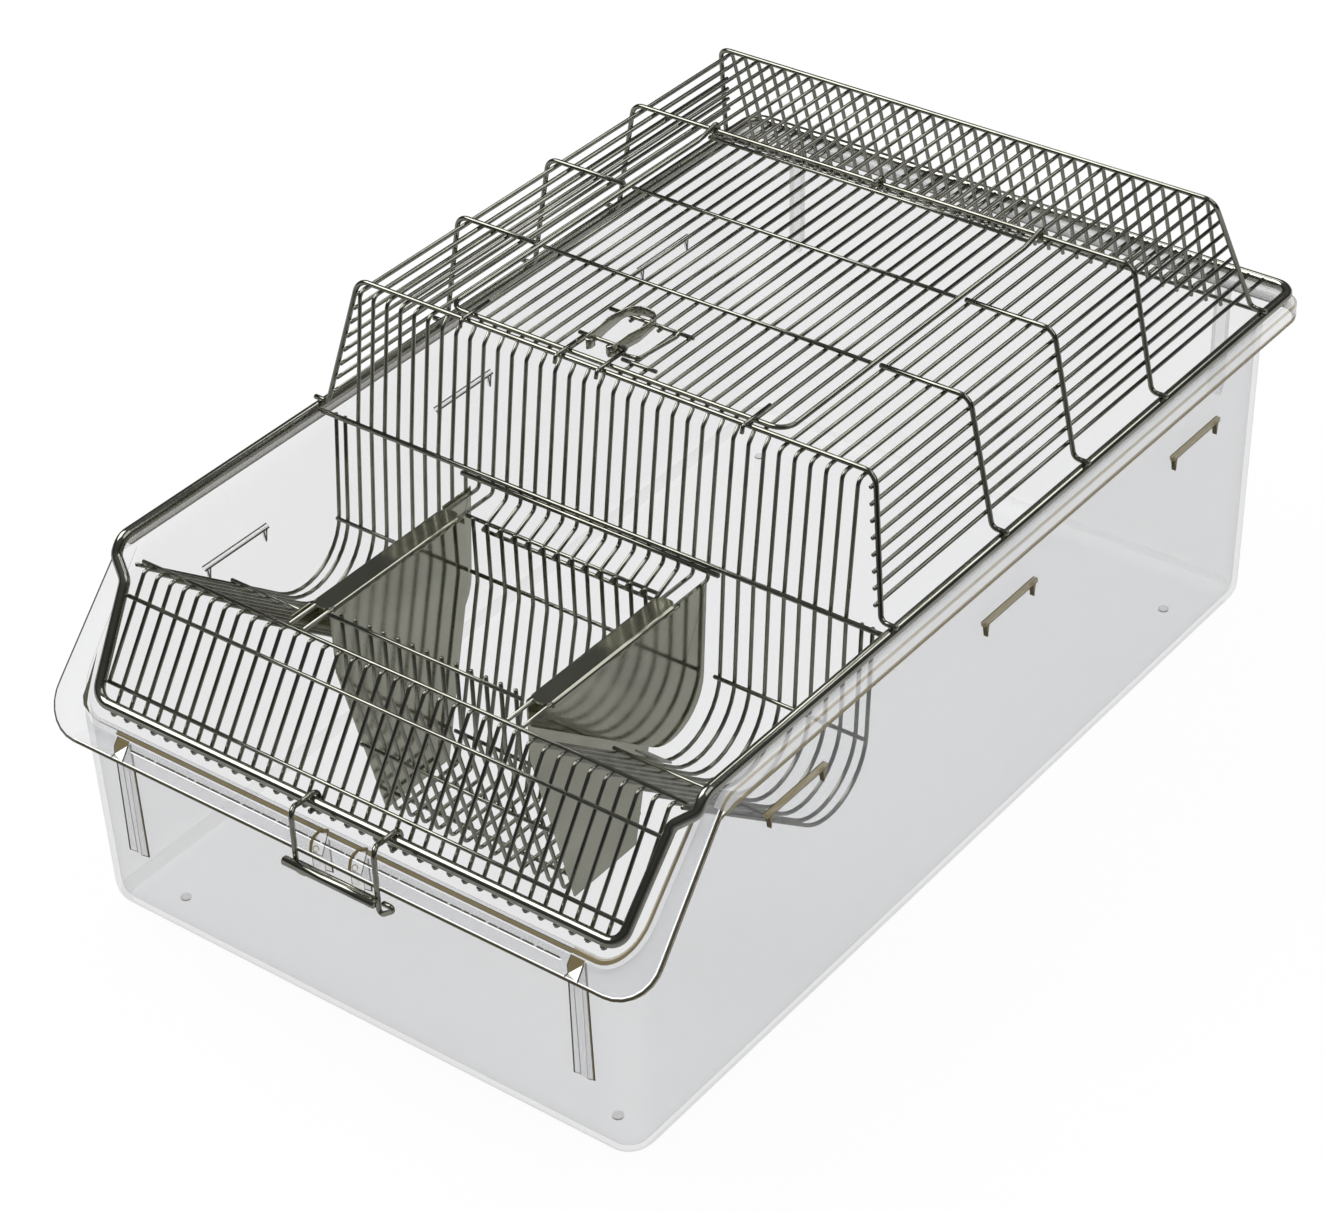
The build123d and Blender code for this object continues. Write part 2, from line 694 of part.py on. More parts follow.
for name, top_y, foot_y in (
    ("front_hoop", front_hoop_y, face_foot_y),
    ("hinge_hoop", hinge_hoop_y, hinge_hoop_y),
    ("rear_hoop", rear_hoop_y, rear_hoop_foot_y),
):
    with BuildPart() as hoop:
        stout_wire(
            hoop_points(top_y, foot_y, -1) + hoop_points(top_y, foot_y, 1)[::-1],
            [hoop_foot_radius, hoop_corner_radius, hoop_corner_radius, hoop_foot_radius],
            hoop_diameter,
        )
    save(hoop, name)

hoop_cut_x = (door_bay_wires_each_side + 1) * wire_pitch - wire_radius
for name, top_y in (("second_hoop", second_hoop_y), ("third_hoop", third_hoop_y)):
    with BuildPart() as cut_hoop:
        for side in (-1, 1):
            stout_wire(
                hoop_points(top_y, top_y, side) + [Vector(side * hoop_cut_x, top_y, hoop_z)],
                [hoop_foot_radius, hoop_corner_radius],
                hoop_diameter,
            )
    save(cut_hoop, name)

# Side wires: rows along the slanting sides of the tunnel, inside the hoops
leg = Vector(hoop_leg_spread, 0, hoop_foot_z - hoop_z)
leg_along = leg.normalized()
leg_in = Vector(leg_along.Z, 0, -leg_along.X)
for name, side in (("left", -1), ("right", 1)):
    with BuildPart() as side_wire_row:
        for number in range(side_wires):
            down = side_wire_first + number * side_wire_pitch
            share = down / leg.length
            spot = Vector(hoop_corner_x, 0, hoop_z) + leg_along * down + leg_in * (wire_radius + hoop_radius + weld_gap)
            start_y = front_hoop_y - face_lean * share - wire_end_overhang
            end_y = rear_hoop_y + rear_lean * share + wire_end_overhang
            with BuildSketch(
                Plane(origin=(side * spot.X, start_y, spot.Z), x_dir=(side * leg_along.X, 0, leg_along.Z), z_dir=(0, 1, 0))
            ) as section:
                RegularPolygon(radius=wire_radius, side_count=wire_sides, major_radius=False)
            extrude(section.sketch, amount=end_y - start_y)
    save(side_wire_row, f"{name}_side_wires")

# Door: a wire frame with eyes round the hinge hoop, its wires and its cross wires
door_x = (door_bay_wires_each_side + 0.5) * wire_pitch
door_front_y = front_hoop_y + door_front_gap
door_cross_z = roof_z + wire_diameter + weld_gap
door_rear_y = hinge_hoop_y - door_rear_gap
eye_turn = 2 * pi / eye_chords
eye_radius = (hoop_radius + hinge_clearance + hoop_radius) / cos(eye_turn / 2)


def eye_points(x):
    """Turn of wire round the hinge hoop, from the front over the top to underneath."""
    return [
        Vector(x, hinge_hoop_y - eye_radius * cos(turn), hoop_z + eye_radius * sin(turn))
        for turn in [pi * 0.4 + eye_turn * step for step in range(eye_chords - 1)]
    ]


with BuildPart() as door_frame:
    right_side = [Vector(door_x, door_rear_y - door_rear_gap, hoop_z), *eye_points(door_x)]
    left_side = [Vector(-door_x, door_rear_y - door_rear_gap, hoop_z), *eye_points(-door_x)]
    front = eased(
        eased(
            [left_side[0], Vector(-door_x, door_front_y, hoop_z), Vector(door_x, door_front_y, hoop_z), right_side[0]],
            2,
            door_corner_radius,
            well_chords,
        ),
        1,
        door_corner_radius,
        well_chords,
    )
    frame_points = left_side[:0:-1] + front + right_side[1:]
    with BuildLine() as frame_path:
        Polyline(*frame_points)
    frame_start = Plane(
        origin=frame_points[0], x_dir=(1, 0, 0), z_dir=frame_points[1] - frame_points[0]
    )
    with BuildSketch(frame_start):
        RegularPolygon(radius=hoop_radius, side_count=wire_sides, major_radius=False)
    sweep(path=frame_path.wire(), transition=Transition.RIGHT)
save(door_frame, "door_frame")

guard_y = door_front_y + guard_setback
clip_left_x = clip_x - clip_arm_spacing
clip_right_x = clip_x + clip_arm_spacing
door_wire_places = [
    door_wire_pitch * (number + 0.5) for number in range(-door_wires_each_side, door_wires_each_side)
]
short_places = [x for x in door_wire_places if clip_left_x < x < clip_right_x]
long_places = [x for x in door_wire_places if x not in short_places]
door_wire_end = side_point(door_rear_y + wire_end_overhang, roof_z - weld_gap)
with BuildPart() as door_wires:
    wire_row([side_point(door_front_y - wire_end_overhang, roof_z - weld_gap), door_wire_end], long_places)
    wire_row([side_point(guard_y - wire_end_overhang, roof_z - weld_gap), door_wire_end], short_places)
save(door_wires, "door_wires")
door_cross_reach = door_x - hoop_radius - hinge_clearance
with BuildPart() as door_cross_wires:
    for y in (second_hoop_y, third_hoop_y, door_rear_y):
        cross_wire(side_point(y, door_cross_z), -door_cross_reach, door_cross_reach)
save(door_cross_wires, "door_cross_wires")
with BuildPart() as door_middle_eye:
    eye = eye_points(wire_pitch / 2)
    wire_row(
        [Vector(0, door_rear_y + wire_radius + weld_gap, eye[0].Z)] + [Vector(0, p.Y, p.Z) for p in eye],
        [wire_pitch / 2],
        hoop_diameter,
    )
save(door_middle_eye, "door_middle_eye")

# Fingers that rest the door on the front hoop, and the wires that carry the clip
finger_z = hoop_z + hoop_radius + wire_radius + lid_clearance
finger_start = side_point(front_hoop_y - 2 * wire_diameter, finger_z)
with BuildPart() as door_fingers:
    wire_row(
        [finger_start, finger_start + side_point(finger_length, 0)],
        [-finger_x, clip_left_x, clip_right_x, finger_x],
    )
save(door_fingers, "door_fingers")
pivot = side_point(door_front_y + clip_pivot_setback, finger_z + wire_diameter)
with BuildPart() as clip_pivot_wire:
    cross_wire(pivot, clip_left_x - wire_diameter, clip_right_x + wire_diameter)
save(clip_pivot_wire, "clip_pivot_wire")
with BuildPart() as clip_guard_wire:
    cross_wire(
        side_point(guard_y, door_cross_z), clip_left_x - wire_pitch, clip_right_x + 2 * wire_pitch
    )
save(clip_guard_wire, "clip_guard_wire")

# Clip: a hairpin of strip on edge, with both arms on the pivot wire and its loop to the rear
arm_x = clip_arm_spacing / 2
loop_y = door_front_y + clip_loop_setback
arm_front_y = pivot.Y - clip_arm_length
with BuildPart() as door_clip:
    with BuildSketch(Plane.XY.offset(pivot.Z - clip_strip_height / 2)):
        with BuildLine():
            Polyline(
                (clip_x - arm_x, arm_front_y),
                (clip_x - arm_x, pivot.Y + clip_arm_length),
                (clip_x - clip_loop_radius, loop_y),
            )
            ThreePointArc(
                (clip_x - clip_loop_radius, loop_y),
                (clip_x, loop_y + clip_loop_radius),
                (clip_x + clip_loop_radius, loop_y),
            )
            Polyline(
                (clip_x + clip_loop_radius, loop_y),
                (clip_x + arm_x, pivot.Y + clip_arm_length),
                (clip_x + arm_x, arm_front_y),
            )
            offset(amount=clip_strip, side=Side.LEFT)
        make_face()
    extrude(amount=clip_strip_height)
    with BuildSketch(Plane.YZ.offset(clip_x)):
        with Locations((pivot.Y, pivot.Z)):
            Circle(wire_radius + clip_pivot_clearance)
    extrude(amount=clip_arm_spacing, both=True, mode=Mode.SUBTRACT)
save(door_clip, "door_clip")

# Bail: a wire catch that hangs from the front rod, with a grip bar across its legs
bail_radius = bail_wire_diameter / 2
bail_eye = rod_radius + hinge_clearance + bail_radius
bail_eye_corner = bail_eye / cos(eye_turn / 2)
bail_leg_y = rod_front.Y - bail_reach
bail_foot_z = rod_front.Z - bail_drop
bail_rear_z = bail_foot_z + bail_foot_rise


def clear_of_wires(x):
    """Place of a bail leg across the slope, moved beside the nearest slope wire where it would touch it."""
    wire_x = round(x / wire_pitch) * wire_pitch
    beside = wire_radius + bail_radius + contact_gap
    if abs(x - wire_x) >= beside:
        return x
    return wire_x + (beside if x > wire_x else -beside)


bail_left_x = clear_of_wires(front_shift - bail_half_spacing)
bail_right_x = clear_of_wires(front_shift + bail_half_spacing)
bail_spread = bail_right_x - bail_left_x - 2 * bail_half_spacing


def bail_leg(x, foot, foot_radii):
    """One leg of the bail: a turn round the rod, a reach forward, a drop and the given foot."""
    corners = [
        Vector(x, rod_front.Y + bail_eye_corner * cos(turn), rod_front.Z + bail_eye_corner * sin(turn))
        for turn in [eye_turn * (step - 1.5) for step in range(4)]
    ]
    stout_wire(
        [Vector(x, rod_front.Y - bail_stub, rod_front.Z - bail_eye)]
        + corners
        + [Vector(x, bail_leg_y, rod_front.Z + bail_eye)]
        + [Vector(x + reach, bail_leg_y, z) for reach, z in foot],
        [0, 0, 0, 0, bail_bend_radius] + foot_radii,
        bail_wire_diameter,
    )


with BuildPart() as bail_legs:
    curl_z = bail_foot_z + bail_curl_rise
    bail_leg(bail_left_x, [(0, curl_z), (bail_curl_reach, curl_z)], [bail_foot_radius])
    bail_leg(
        bail_right_x,
        [(0, bail_foot_z), (bail_foot_reach, bail_rear_z), (bail_wire_diameter, bail_rear_z)],
        [bail_foot_radius, bail_foot_radius],
    )
save(bail_legs, "bail_legs")
with BuildPart() as bail_rear_wire:
    butt = bail_radius + weld_gap
    cross_wire(
        side_point(bail_leg_y, bail_rear_z), bail_left_x + butt, bail_right_x - butt, diameter=bail_wire_diameter
    )
save(bail_rear_wire, "bail_rear_wire")
with BuildPart() as bail_grip_bar:
    grip_y = bail_leg_y - bail_radius - grip_diameter / 2 - weld_gap
    with BuildSketch(Plane.YZ.offset(bail_left_x - grip_overhang)):
        with Locations((grip_y, bail_foot_z + grip_rise)):
            Circle(grip_diameter / 2)
    extrude(amount=grip_length + bail_spread)
save(bail_grip_bar, "bail_grip_bar")
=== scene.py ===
from math import ceil, cos, pi, radians, sin, tan

import bpy
from mathutils import Matrix, Quaternion, Vector


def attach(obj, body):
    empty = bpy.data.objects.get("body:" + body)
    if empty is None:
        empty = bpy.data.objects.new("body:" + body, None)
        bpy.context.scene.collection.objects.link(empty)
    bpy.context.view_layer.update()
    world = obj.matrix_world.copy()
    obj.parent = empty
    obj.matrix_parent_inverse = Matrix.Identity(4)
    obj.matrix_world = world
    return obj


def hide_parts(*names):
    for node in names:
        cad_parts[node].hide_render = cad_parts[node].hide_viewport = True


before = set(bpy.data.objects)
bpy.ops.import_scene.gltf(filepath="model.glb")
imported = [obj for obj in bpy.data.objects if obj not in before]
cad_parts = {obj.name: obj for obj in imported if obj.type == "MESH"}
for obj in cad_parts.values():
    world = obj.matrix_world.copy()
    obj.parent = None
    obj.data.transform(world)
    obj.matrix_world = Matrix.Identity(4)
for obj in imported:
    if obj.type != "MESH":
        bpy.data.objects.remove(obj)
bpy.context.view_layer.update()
scene = bpy.context.scene
MM = 0.001

# Sizes of the cage in millimetres and degrees: those of the part's source, with a deeper skirt and a longer front rim
tub_length = 578.0
tub_width = 350.0
tub_height = 195.5
wall_thickness = 3.0
wall_draft = tan(radians(1.15))
corner_radius = 17.0
floor_edge_radius = 14.0
foot_height = 1.0
rim_overhang = 10.5
rear_rim_overhang = 12.6
rim_corner_radius = 14.0
rim_thickness = 2.6
skirt_depth = 9.5
skirt_thickness = 2.2
rim_slope_angle = 48.2
rim_slope_setback = 60.6
rim_head_radius = 12.0
front_rim_length = 107.0
front_rim_flare = 2.5
front_rim_corner_radius = 23.0
front_shift = 5.0
slope_angle = 55.3
slope_setback = 54.5
rod_radius = 3.0
wire_radius = 1.1
hoop_radius = 1.4
wire_diameter = 2 * wire_radius
weld_gap = 0.05
wires_each_side = 18
roof_wires_each_side = 17
bay_wires_each_side = 11
hopper_wires_each_side = 6
rail_wires = (7, 8)
wire_bend = 3.5
face_foot_share = 0.3
rod_gap = 0.3
rod_inset = 7.5
rod_rear_inset = 1.3
slope_rod_length = 78.7
well_depth = 117.0
well_radius = 32.0
feed_bay_length = 148.5
edge_wire_gap = 1.4
edge_wire_spacing = 6.3
tunnel_height = 78.5
contact_gap = 0.15
wire_overrun = 1.5
sheet = 1.0
hoop_corner_gap = 5.9
hoop_leg_spread = 14.3
front_hoop_lean = 16.2
rear_hoop_lean = 22.3
front_bay_length = 81.0
bay_length = 76.4
rear_hoop_inset = 36.1
rear_sill_inset = 31.1

# Levels and places worked out from the sizes
rim_z = tub_height
wall_half = tub_width / 2 + (tub_height - foot_height) * wall_draft
rim_half = wall_half + rim_overhang
wall_rear_y = tub_length / 2 + (tub_height - foot_height) * wall_draft
rim_rear_y = wall_rear_y + rear_rim_overhang
rim_head_y = -tub_length / 2 + rim_slope_setback
rim_sin = sin(radians(rim_slope_angle))
rim_cos = cos(radians(rim_slope_angle))
slope_head_y = -tub_length / 2 + slope_setback
slope_sin = sin(radians(slope_angle))
slope_cos = cos(radians(slope_angle))
rod_lift = rod_gap + rod_radius
rod_z = rim_z + rod_lift
rod_x = rim_half - rod_inset
rod_rear_y = rim_rear_y - rod_rear_inset
well_corner_z = rim_z - well_depth
face_foot_y = slope_head_y + feed_bay_length
face_foot_z = rod_z - face_foot_share * rod_radius
well_half = tub_width / 2 + (well_corner_z - foot_height) * wall_draft - wall_thickness
edge_wire_x = well_half - edge_wire_gap - wire_radius
wire_pitch = (edge_wire_x - edge_wire_spacing) / wires_each_side
hoop_z = rim_z + tunnel_height
roof_z = hoop_z - hoop_radius - wire_radius - contact_gap
hoop_corner_x = roof_wires_each_side * wire_pitch + hoop_corner_gap
hoop_foot_x = hoop_corner_x + hoop_leg_spread
hoop_foot_z = rod_z + rod_radius + hoop_radius
front_hoop_y = face_foot_y + front_hoop_lean
second_hoop_y = front_hoop_y + front_bay_length
third_hoop_y = second_hoop_y + bay_length
hinge_hoop_y = third_hoop_y + bay_length
rear_hoop_foot_y = rod_rear_y - rear_hoop_inset
rear_hoop_y = rear_hoop_foot_y - rear_hoop_lean
rear_sill_y = rod_rear_y - rear_sill_inset
welded = wire_diameter + weld_gap
SIDES = (("left", -1), ("right", 1))

# How wires are drawn: turns too slight to round, the most of a run that a bend takes, and the rounding of cut ends
slight_turn = 0.02
most_of_run = 0.49
end_rounding = 0.28


def on_slope(x, down, lift):
    """Point on the lid's sloping front: down from its head and lifted off its plane."""
    y = slope_head_y - down * slope_cos - lift * slope_sin
    return Vector((x, y, rim_z - down * slope_sin + lift * slope_cos))


def mid(y, z):
    """Point in the middle plane of the cage."""
    return Vector((0.0, y, z))


def at_x(points, x):
    """The same points, moved to a place across the cage."""
    return [Vector((x, p.y, p.z)) for p in points]


def bent(points, radii, step=12.0):
    """Path of straight runs with each corner rounded; radii is one number or one for each corner."""
    corners = len(points) - 2
    if not isinstance(radii, (list, tuple)):
        radii = [radii] * corners
    path = [points[0]]
    for before, here, after, radius in zip(points, points[1:], points[2:], radii):
        u = (before - here).normalized()
        v = (after - here).normalized()
        opening = u.angle(v)
        turn = pi - opening
        if turn < slight_turn:
            path.append(here)
            continue
        reach = radius / tan(opening / 2)
        reach = min(reach, most_of_run * (before - here).length, most_of_run * (after - here).length)
        radius = reach * tan(opening / 2)
        centre = here + (u + v).normalized() * (radius / sin(opening / 2))
        arm = here + u * reach - centre
        axis = v.cross(u)
        count = max(2, ceil(turn / radians(step)))
        for number in range(count + 1):
            path.append(centre + Quaternion(axis, turn * number / count) @ arm)
    path.append(points[-1])
    return path


def add_tube(verts, faces, path, radius, sides, closed=False):
    """Round wire along a path, with softly domed ends."""
    count = len(path)
    tangents = []
    for i in range(count):
        ahead = path[(i + 1) % count] if closed or i + 1 < count else path[i]
        behind = path[i - 1] if closed or i > 0 else path[i]
        tangents.append((ahead - behind).normalized())
    side = tangents[0].orthogonal().normalized()
    rings = []
    for i in range(count):
        if i:
            side = tangents[i - 1].rotation_difference(tangents[i]) @ side
        side = (side - tangents[i] * side.dot(tangents[i])).normalized()
        rings.append((path[i], tangents[i], side, radius))
    if not closed:
        dome = end_rounding * radius
        end_radius = (1 - end_rounding) * radius
        first, last = rings[0], rings[-1]
        rings[0] = (first[0] + first[1] * dome, first[1], first[2], radius)
        rings[-1] = (last[0] - last[1] * dome, last[1], last[2], radius)
        rings.insert(0, (first[0], first[1], first[2], end_radius))
        rings.append((last[0], last[1], last[2], end_radius))
    base = len(verts)
    for point, along, across, size in rings:
        other = along.cross(across)
        for j in range(sides):
            angle = 2 * pi * j / sides
            verts.append((point + (across * cos(angle) + other * sin(angle)) * size) * MM)
    total = len(rings)
    for i in range(total if closed else total - 1):
        for j in range(sides):
            a = base + i * sides + j
            b = base + i * sides + (j + 1) % sides
            c = base + ((i + 1) % total) * sides + (j + 1) % sides
            d = base + ((i + 1) % total) * sides + j
            faces.append((a, b, c, d))
    if not closed:
        faces.append(tuple(base + j for j in reversed(range(sides))))
        faces.append(tuple(base + (total - 1) * sides + j for j in range(sides)))


def make_piece(name, verts, faces, material, body, nodes=(), smooth=True):
    """New mesh piece that rides on a body and stands for the named solids."""
    mesh = bpy.data.meshes.new(name)
    mesh.from_pydata(verts, [], faces)
    mesh.validate()
    mesh.polygons.foreach_set("use_smooth", [smooth] * len(mesh.polygons))
    mesh.materials.append(material)
    piece = bpy.data.objects.new(name, mesh)
    scene.collection.objects.link(piece)
    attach(piece, body)
    if nodes:
        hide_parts(*nodes)
    return piece


def round_wires(name, paths, body, radius, sides, nodes=(), closed=False, material=None):
    """Piece of round wires along paths."""
    verts, faces = [], []
    for path in paths:
        add_tube(verts, faces, path, radius, sides, closed)
    make_piece(name, verts, faces, material or steel, body, nodes)


def wires(node, paths, body="lid", radius=wire_radius, sides=10, closed=False, material=None):
    """Round wires in place of a solid of straight facets."""
    round_wires("round_" + node, paths, body, radius, sides, (node,), closed, material)


# Materials
def fill(tree, node, inputs):
    """Sets a node's inputs to values, or links them to the outputs of other nodes."""
    for name, value in inputs.items():
        if isinstance(value, bpy.types.NodeSocket):
            tree.links.new(value, node.inputs[name])
        else:
            node.inputs[name].default_value = value


def put(tree, kind, inputs, **settings):
    """New shader node with its settings and inputs; gives its outputs."""
    node = tree.nodes.new(kind)
    for name, value in settings.items():
        setattr(node, name, value)
    fill(tree, node, inputs)
    return node.outputs


def map_range(tree, value, **ends):
    """Value carried from one range to another; ends are named as on the node, such as from_min."""
    inputs = {name.replace("_", " ").title(): end for name, end in ends.items()}
    return put(tree, "ShaderNodeMapRange", {"Value": value, **inputs})["Result"]


def mix(tree, factor, a, b, kind="RGBA"):
    """Mix of two colours, or of two numbers."""
    return put(tree, "ShaderNodeMix", {"Factor": factor, "A": a, "B": b}, data_type=kind)["Result"]


def new_material(name):
    """Material with its node tree and its main shader."""
    material = bpy.data.materials.new(name)
    material.use_nodes = True
    return material, material.node_tree, material.node_tree.nodes["Principled BSDF"]


def drawn_steel_group():
    """Drawn and electropolished steel: faint cloudy tone, fine scratches and uneven gloss."""
    group = bpy.data.node_groups.new("drawn_steel", "ShaderNodeTree")
    for label, kind, value in (
        ("Tone", "NodeSocketColor", (0.1, 0.1, 0.09, 1.0)),
        ("Dark Tone", "NodeSocketColor", (0.05, 0.05, 0.04, 1.0)),
        ("Gloss", "NodeSocketFloat", 0.25),
        ("Cloud Size", "NodeSocketFloat", 60.0),
    ):
        group.interface.new_socket(name=label, in_out="INPUT", socket_type=kind).default_value = value
    for label, kind in (("Color", "NodeSocketColor"), ("Roughness", "NodeSocketFloat"), ("Height", "NodeSocketFloat")):
        group.interface.new_socket(name=label, in_out="OUTPUT", socket_type=kind)
    entry = group.nodes.new("NodeGroupInput").outputs
    leave = group.nodes.new("NodeGroupOutput")
    place = put(group, "ShaderNodeTexCoord", {})["Object"]
    cloud = put(group, "ShaderNodeTexNoise", {"Vector": place, "Scale": entry["Cloud Size"], "Detail": 4.0})["Fac"]
    fine = put(group, "ShaderNodeTexNoise", {"Vector": place, "Scale": 900.0, "Detail": 2.0})["Fac"]
    spread = map_range(group, cloud, from_min=0.35, from_max=0.65)
    tone = mix(group, spread, entry["Dark Tone"], entry["Tone"])
    sway = put(group, "ShaderNodeMath", {0: fine, 1: 0.12, 2: entry["Gloss"]}, operation="MULTIPLY_ADD")["Value"]
    fill(group, leave, {"Color": tone, "Roughness": sway, "Height": fine})
    return group


drawn_steel = drawn_steel_group()


def steel_material(name, tone, dark_tone, gloss, cloud_size, bump=0.05):
    """Metal finish with the drawn steel group's tone, gloss and fine scratches."""
    material, tree, shader = new_material(name)
    looks = {"Tone": (*tone, 1.0), "Dark Tone": (*dark_tone, 1.0), "Gloss": gloss, "Cloud Size": cloud_size}
    surface = put(tree, "ShaderNodeGroup", looks, node_tree=drawn_steel)
    relief = put(tree, "ShaderNodeBump", {"Strength": bump, "Distance": 0.0002, "Height": surface["Height"]})["Normal"]
    fill(tree, shader, {"Base Color": surface["Color"], "Roughness": surface["Roughness"], "Normal": relief})
    shader.inputs["Metallic"].default_value = 1.0
    return material


steel = steel_material("electropolished_wire", (0.43, 0.43, 0.37), (0.32, 0.32, 0.27), 0.05, 90.0)
rod_steel = steel_material("electropolished_rod", (0.54, 0.54, 0.48), (0.42, 0.42, 0.36), 0.04, 40.0)
sheet_steel = steel_material("polished_divider_sheet", (0.62, 0.62, 0.52), (0.52, 0.52, 0.43), 0.03, 22.0, 0.02)
strip_steel = steel_material("spring_clip_strip", (0.68, 0.67, 0.58), (0.54, 0.53, 0.46), 0.12, 60.0, 0.02)
tab_steel = steel_material("burnished_foot_tab", (0.9, 0.9, 0.87), (0.8, 0.8, 0.76), 0.4, 40.0, 0.02)


def clear_material():
    """Clear plastic: a light grey veil, amber where light runs along the sheet, and painted highlights where faces are
    marked with painted light.
    """
    material, tree, shader = new_material("clear_moulded_plastic")
    depth = put(tree, "ShaderNodeAttribute", {}, attribute_name="edge_depth")["Fac"]
    painted_light_mark = put(tree, "ShaderNodeAttribute", {}, attribute_name="painted_light")["Fac"]
    place = put(tree, "ShaderNodeTexCoord", {})["Object"]
    haze = put(tree, "ShaderNodeTexNoise", {"Vector": place, "Scale": 14.0, "Detail": 5.0})["Fac"]
    ramp = tree.nodes.new("ShaderNodeValToRGB")
    steps = ramp.color_ramp.elements
    steps[0].color = (0.42, 0.43, 0.46, 1.0)
    steps[1].color = (0.04, 0.04, 0.027, 1.0)
    steps.new(0.35).color = (0.42, 0.36, 0.22, 1.0)
    steps.new(0.7).color = (0.17, 0.135, 0.06, 1.0)
    fill(tree, ramp, {"Fac": depth})
    facing = put(tree, "ShaderNodeLayerWeight", {"Blend": 0.1})["Facing"]
    veil = map_range(tree, facing, to_min=0.104, to_max=0.42)
    cover = mix(tree, map_range(tree, depth, from_max=0.7), veil, 0.94, "FLOAT")
    # Faces marked with painted light turn white, glow faintly and grow more opaque: painted highlight and painted
    # glow, with no lamp behind them.
    fill(tree, shader, {
        "IOR": 1.5,
        "Specular IOR Level": 0.25,
        "Roughness": map_range(tree, haze, to_min=0.04, to_max=0.12),
        "Base Color": mix(tree, painted_light_mark, ramp.outputs["Color"], (0.95, 0.95, 0.95, 1.0)),
        "Emission Color": mix(tree, painted_light_mark, (0.0, 0.0, 0.0, 1.0), (0.42, 0.42, 0.41, 1.0)),
        "Emission Strength": 1.0,
        "Alpha": mix(tree, painted_light_mark, cover, 0.85, "FLOAT"),
    })
    return material


clear_plastic = clear_material()

# Tub, lofted ring by ring in three kinds of ring: the bent rim sheet, the walls and the floor
bend_reach = rim_head_radius * tan(radians(rim_slope_angle / 2))


def on_sheet(x, t, depth):
    """Point of the bent rim: t runs to the rear on its flat part and is negative down the slope."""
    if t >= bend_reach:
        return Vector((x, rim_head_y + t, rim_z - depth))
    if t <= -bend_reach:
        return Vector((x, rim_head_y + t * rim_cos + depth * rim_sin, rim_z + t * rim_sin - depth * rim_cos))
    angle = radians(rim_slope_angle) * (bend_reach - t) / (2 * bend_reach)
    radius = rim_head_radius - depth
    centre_y = rim_head_y + bend_reach
    centre_z = rim_z - rim_head_radius
    return Vector((x, centre_y - radius * sin(angle), centre_z + radius * cos(angle)))


def halve(low, high, steps, too_low):
    """Narrows a range, by halving, to the place where a test stops being true."""
    for _ in range(steps):
        middle = (low + high) / 2
        if too_low(middle):
            low = middle
        else:
            high = middle
    return low, high


def skirt_at(t):
    """Depth of the rim's edge: a skirt on the flat part, whose level foot runs out on the slope's flat sheet."""
    if t >= bend_reach:
        return skirt_depth
    return halve(rim_thickness, skirt_depth, 20, lambda depth: on_sheet(0.0, t, depth).z > rim_z - skirt_depth)[0]


def sheet_t(y):
    """Place on the bent rim that stands at the given y."""
    return sum(halve(sheet_front_t, sheet_rear_t, 40, lambda t: on_sheet(0.0, t, 0.0).y < y)) / 2


# Ends of the search along the sheet, the thinnest edge, and the stations round the walls and the rim
sheet_front_t = -120.0
sheet_rear_t = tub_length + 60.0
least_edge = 0.7
corner_steps = 10
rear_steps = 12
wall_side_y = tub_length / 2 - corner_radius
side_count = 64
flat_share = 0.4
head_reach = 12


def wall_plan(grow):
    """Outline of the walls seen from above, grown outwards; right half from rear to front, then mirrored."""
    half = []
    cx = tub_width / 2 - corner_radius
    cy = wall_side_y
    radius = corner_radius + grow
    for i in range(rear_steps):
        half.append((cx * i / rear_steps, cy + radius))
    for i in range(corner_steps + 1):
        angle = pi / 2 * (1 - i / corner_steps)
        half.append((cx + radius * cos(angle), cy + radius * sin(angle)))
    for i in range(1, side_count):
        share = i / side_count
        half.append((cx + radius, side_y(share)))
    for i in range(corner_steps + 1):
        angle = -pi / 2 * i / corner_steps
        half.append((cx + radius * cos(angle), -cy + radius * sin(angle)))
    for i in range(1, rear_steps + 1):
        half.append((cx * (1 - i / rear_steps), -cy - radius))
    return half + [(-x, y) for x, y in half[-2:0:-1]]


def side_y(share):
    """Places along the side, far apart on the flat rim and close together from the head of the slope on."""
    if share < flat_share:
        return wall_side_y - (wall_side_y - rim_head_y - head_reach) * share / flat_share
    steep_run = head_reach + rim_head_y + wall_side_y
    return rim_head_y + head_reach - steep_run * (share - flat_share) / (1 - flat_share)


def flared_half(t):
    """Half the width of the rim, which flares a little down the slope."""
    return rim_half + front_rim_flare * max(0.0, -t) / front_rim_length


